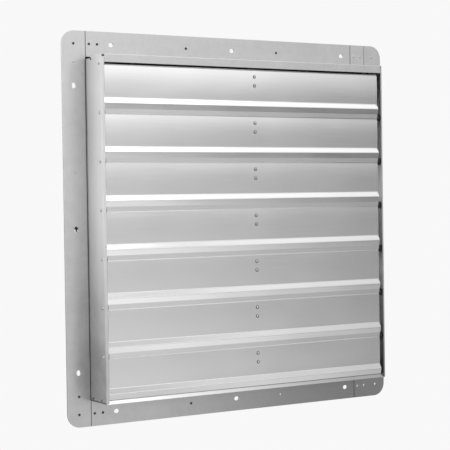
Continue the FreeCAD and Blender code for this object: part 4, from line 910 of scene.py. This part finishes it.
arm = {"outline": [(338.0, 43.2), (338.0, 47.2), (305.5, 47.2), (263.5, 82.0), (48.0, 82.0), (48.0, 78.0),
                   (261.0, 78.0), (303.0, 43.2)],
       "half": 13.0, "bends": {2: 6.0, 3: 9.0, 6: 6.0, 7: 9.0}, "brokenEdge": 0.6}
places = [Matrix.Rotation(math.radians(angle), 4, "Y") for angle in armAngles]
bm = stamp(bmesh.new(), slab("Z", arm["outline"], -arm["half"], arm["half"], arm["bends"]), places)
finishPiece("motorArms", bm, "arm_paint", ["motor_arms"], edge=arm["brokenEdge"])
print("orifice panel, motor and arms modelled")

# junction box, its cover and the cable gland
junction = {"low": (-30.0, 140.0, 62.1), "high": (30.0, 184.0, 96.1), "round": 3.0, "roundSteps": 4,
            "cover": ((-31.0, 139.0, 96.1), (31.0, 185.0, 97.6), 0.7),
            "screw": [(0.0, 0.5), (0.8, 0.5), (0.8, 1.3), (2.2, 1.1), (3.0, 0.0), (0.0, 0.0)],
            "screwSides": 16, "screwSpots": [(-22.0, 162.0, 97.6), (22.0, 162.0, 97.6)],
            "glandSpot": (0, 184.0, 79.1),
            "nut": [(4.5, 0.0), (9.2, 0.0), (10.0, 0.7), (10.0, 5.3), (9.2, 6.0), (4.5, 6.0), (4.5, 0.0)],
            "dome": [(3.5, 0.0), (5.5, 0.0), (5.5, 6.0), (8.0, 6.0), (8.0, 12.0), (7.2, 14.4), (5.6, 15.7),
                     (4.3, 16.0), (3.5, 15.4), (3.5, 0.0)], "nutSides": 6, "domeSides": 32}
bm = softBox(junction["low"], junction["high"], junction["round"], junction["roundSteps"])
finishPiece("junctionBox", bm, "motor_paint", ["junction_box"])
screws = [Matrix.Translation(place) for place in junction["screwSpots"]]
bm = stamp(softBox(*junction["cover"]), turnedBm(junction["screw"], junction["screwSides"]), screws)
finishPiece("junctionCover", bm, "motor_paint", ["junction_box_cover"])
places = [Matrix.Translation(junction["glandSpot"]) @ ontoY]
bm = stamp(bmesh.new(), turnedBm(junction["nut"], junction["nutSides"]), places)
stamp(bm, turnedBm(junction["dome"], junction["domeSides"]), places)
finishPiece("cableGland", bm, "black_nylon", ["cable_gland"], "sheet")

# hex bolts on the panel, the arm feet and the guard's feet
guardSpokes = 16
bolt = {"washer": [(2.5, 0.0), (6.2, 0.0), (6.5, 0.3), (6.5, 0.9), (6.2, 1.2), (0.0, 1.2)],
        "washerSides": 20,
        "head": [(0.0, 1.2), (4.6, 1.2), (4.6, 4.3), (3.9, 4.8), (0.0, 4.8)], "headSides": 6,
        "shank": [(0.0, -10.0), (2.1, -10.0), (2.5, -9.4), (2.5, 0.0)], "line": 304.0, "reach": 200.0,
        "armBolt": 322.0, "armBack": 47.2, "guardBolt": 309.0, "guardBack": 47.4, "shift": 4.65}
signs = [(a, b) for a in (-1, 1) for b in (-1, 1)]
boltSeats = [(a * bolt["line"], panelBack, b * bolt["reach"]) for a, b in signs]
boltSeats += [(a * bolt["reach"], panelBack, b * bolt["line"]) for a, b in signs]
boltSeats += [(x, bolt["armBack"], z) for x, z in (around(bolt["armBolt"], angle) for angle in armAngles)]
for index in range(guardSpokes):
    if index % 4 in (1, 2):  # the spokes on both sides of an arm are bolted down
        x, z = around(bolt["guardBolt"], 360 / guardSpokes * (index + 0.5), bolt["shift"])
        boltSeats.append((x, bolt["guardBack"], z))
places = [aim(*place, (0, 1, 0)) for place in boltSeats]
bm = stamp(bmesh.new(), turnedBm(bolt["shank"] + bolt["washer"], bolt["washerSides"]), places)
stamp(bm, turnedBm(bolt["head"], bolt["headSides"]), places)
finishPiece("hexBolts", bm, "zinc_steel", ["hex_bolts"], "sheet")

# wire guard: bent spokes with welded rings
guard = {"wire": 2.0, "sides": 8, "foot": (314.0, 45.3), "base": (300.0, 45.3), "shoulder": (262.0, 130.0),
         "end": (86.0, 130.0), "bends": (5.0, 14.0), "bendSteps": 6, "ringTurns": 96,
         "faceRings": [90.0 + 28.0 * step for step in range(6)], "faceDepth": 134.1,
         "skirtRings": [(294.63, 67.3), (284.76, 89.3), (274.89, 111.3)]}


def bendWire(bm, edges, centre, angle):
    verts = list(dict.fromkeys(vert for edge in edges for vert in edge.verts))
    made = bmesh.ops.spin(bm, geom=verts + edges, cent=centre, axis=(0, 0, 1), angle=angle,
                          steps=guard["bendSteps"])
    return edgesOf(made["geom_last"])


def spokeBm(look):
    foot, base, shoulder, end = (Vector((*look[key], 0)) for key in ("foot", "base", "shoulder", "end"))
    bm = bmesh.new()
    start = bmesh.ops.create_circle(bm, cap_ends=True, segments=look["sides"], radius=look["wire"])["verts"]
    bmesh.ops.rotate(bm, cent=(0, 0, 0), matrix=Matrix.Rotation(math.radians(90), 3, "Y"), verts=start)
    bmesh.ops.translate(bm, vec=foot, verts=start)
    lean = shoulder - base
    turn = math.acos(-lean.x / lean.length)
    lean.normalize()
    inward = Vector((-1, 0, 0))
    lowBend, highBend = look["bends"]
    lowReach, highReach = (bend * math.tan(turn / 2) for bend in look["bends"])
    heel = base - inward * lowReach
    knee = shoulder + inward * highReach
    edges = pushEdges(bm, bm.edges[:], heel - foot)
    edges = bendWire(bm, edges, heel + Vector((0, lowBend, 0)), -turn)
    edges = pushEdges(bm, edges, shoulder - lean * highReach - (base + lean * lowReach))
    edges = bendWire(bm, edges, knee - Vector((0, highBend, 0)), turn)
    pushEdges(bm, edges, end - knee)
    bmesh.ops.holes_fill(bm, edges=bm.edges[:], sides=0)
    return welded(bm)


places = [Matrix.Rotation(math.tau / guardSpokes * (index + 0.5), 4, "Y") for index in range(guardSpokes)]
bm = stamp(bmesh.new(), spokeBm(guard), places)
for reach, depth in [(reach, guard["faceDepth"]) for reach in guard["faceRings"]] + guard["skirtRings"]:
    addInto(bm, ringBm(reach, guard["wire"], depth, guard["ringTurns"], guard["sides"]))
finishPiece("wireGuard", bm, "guard_wire", ["wire_guard"], "wire")
print("junction box, bolts and guard modelled")
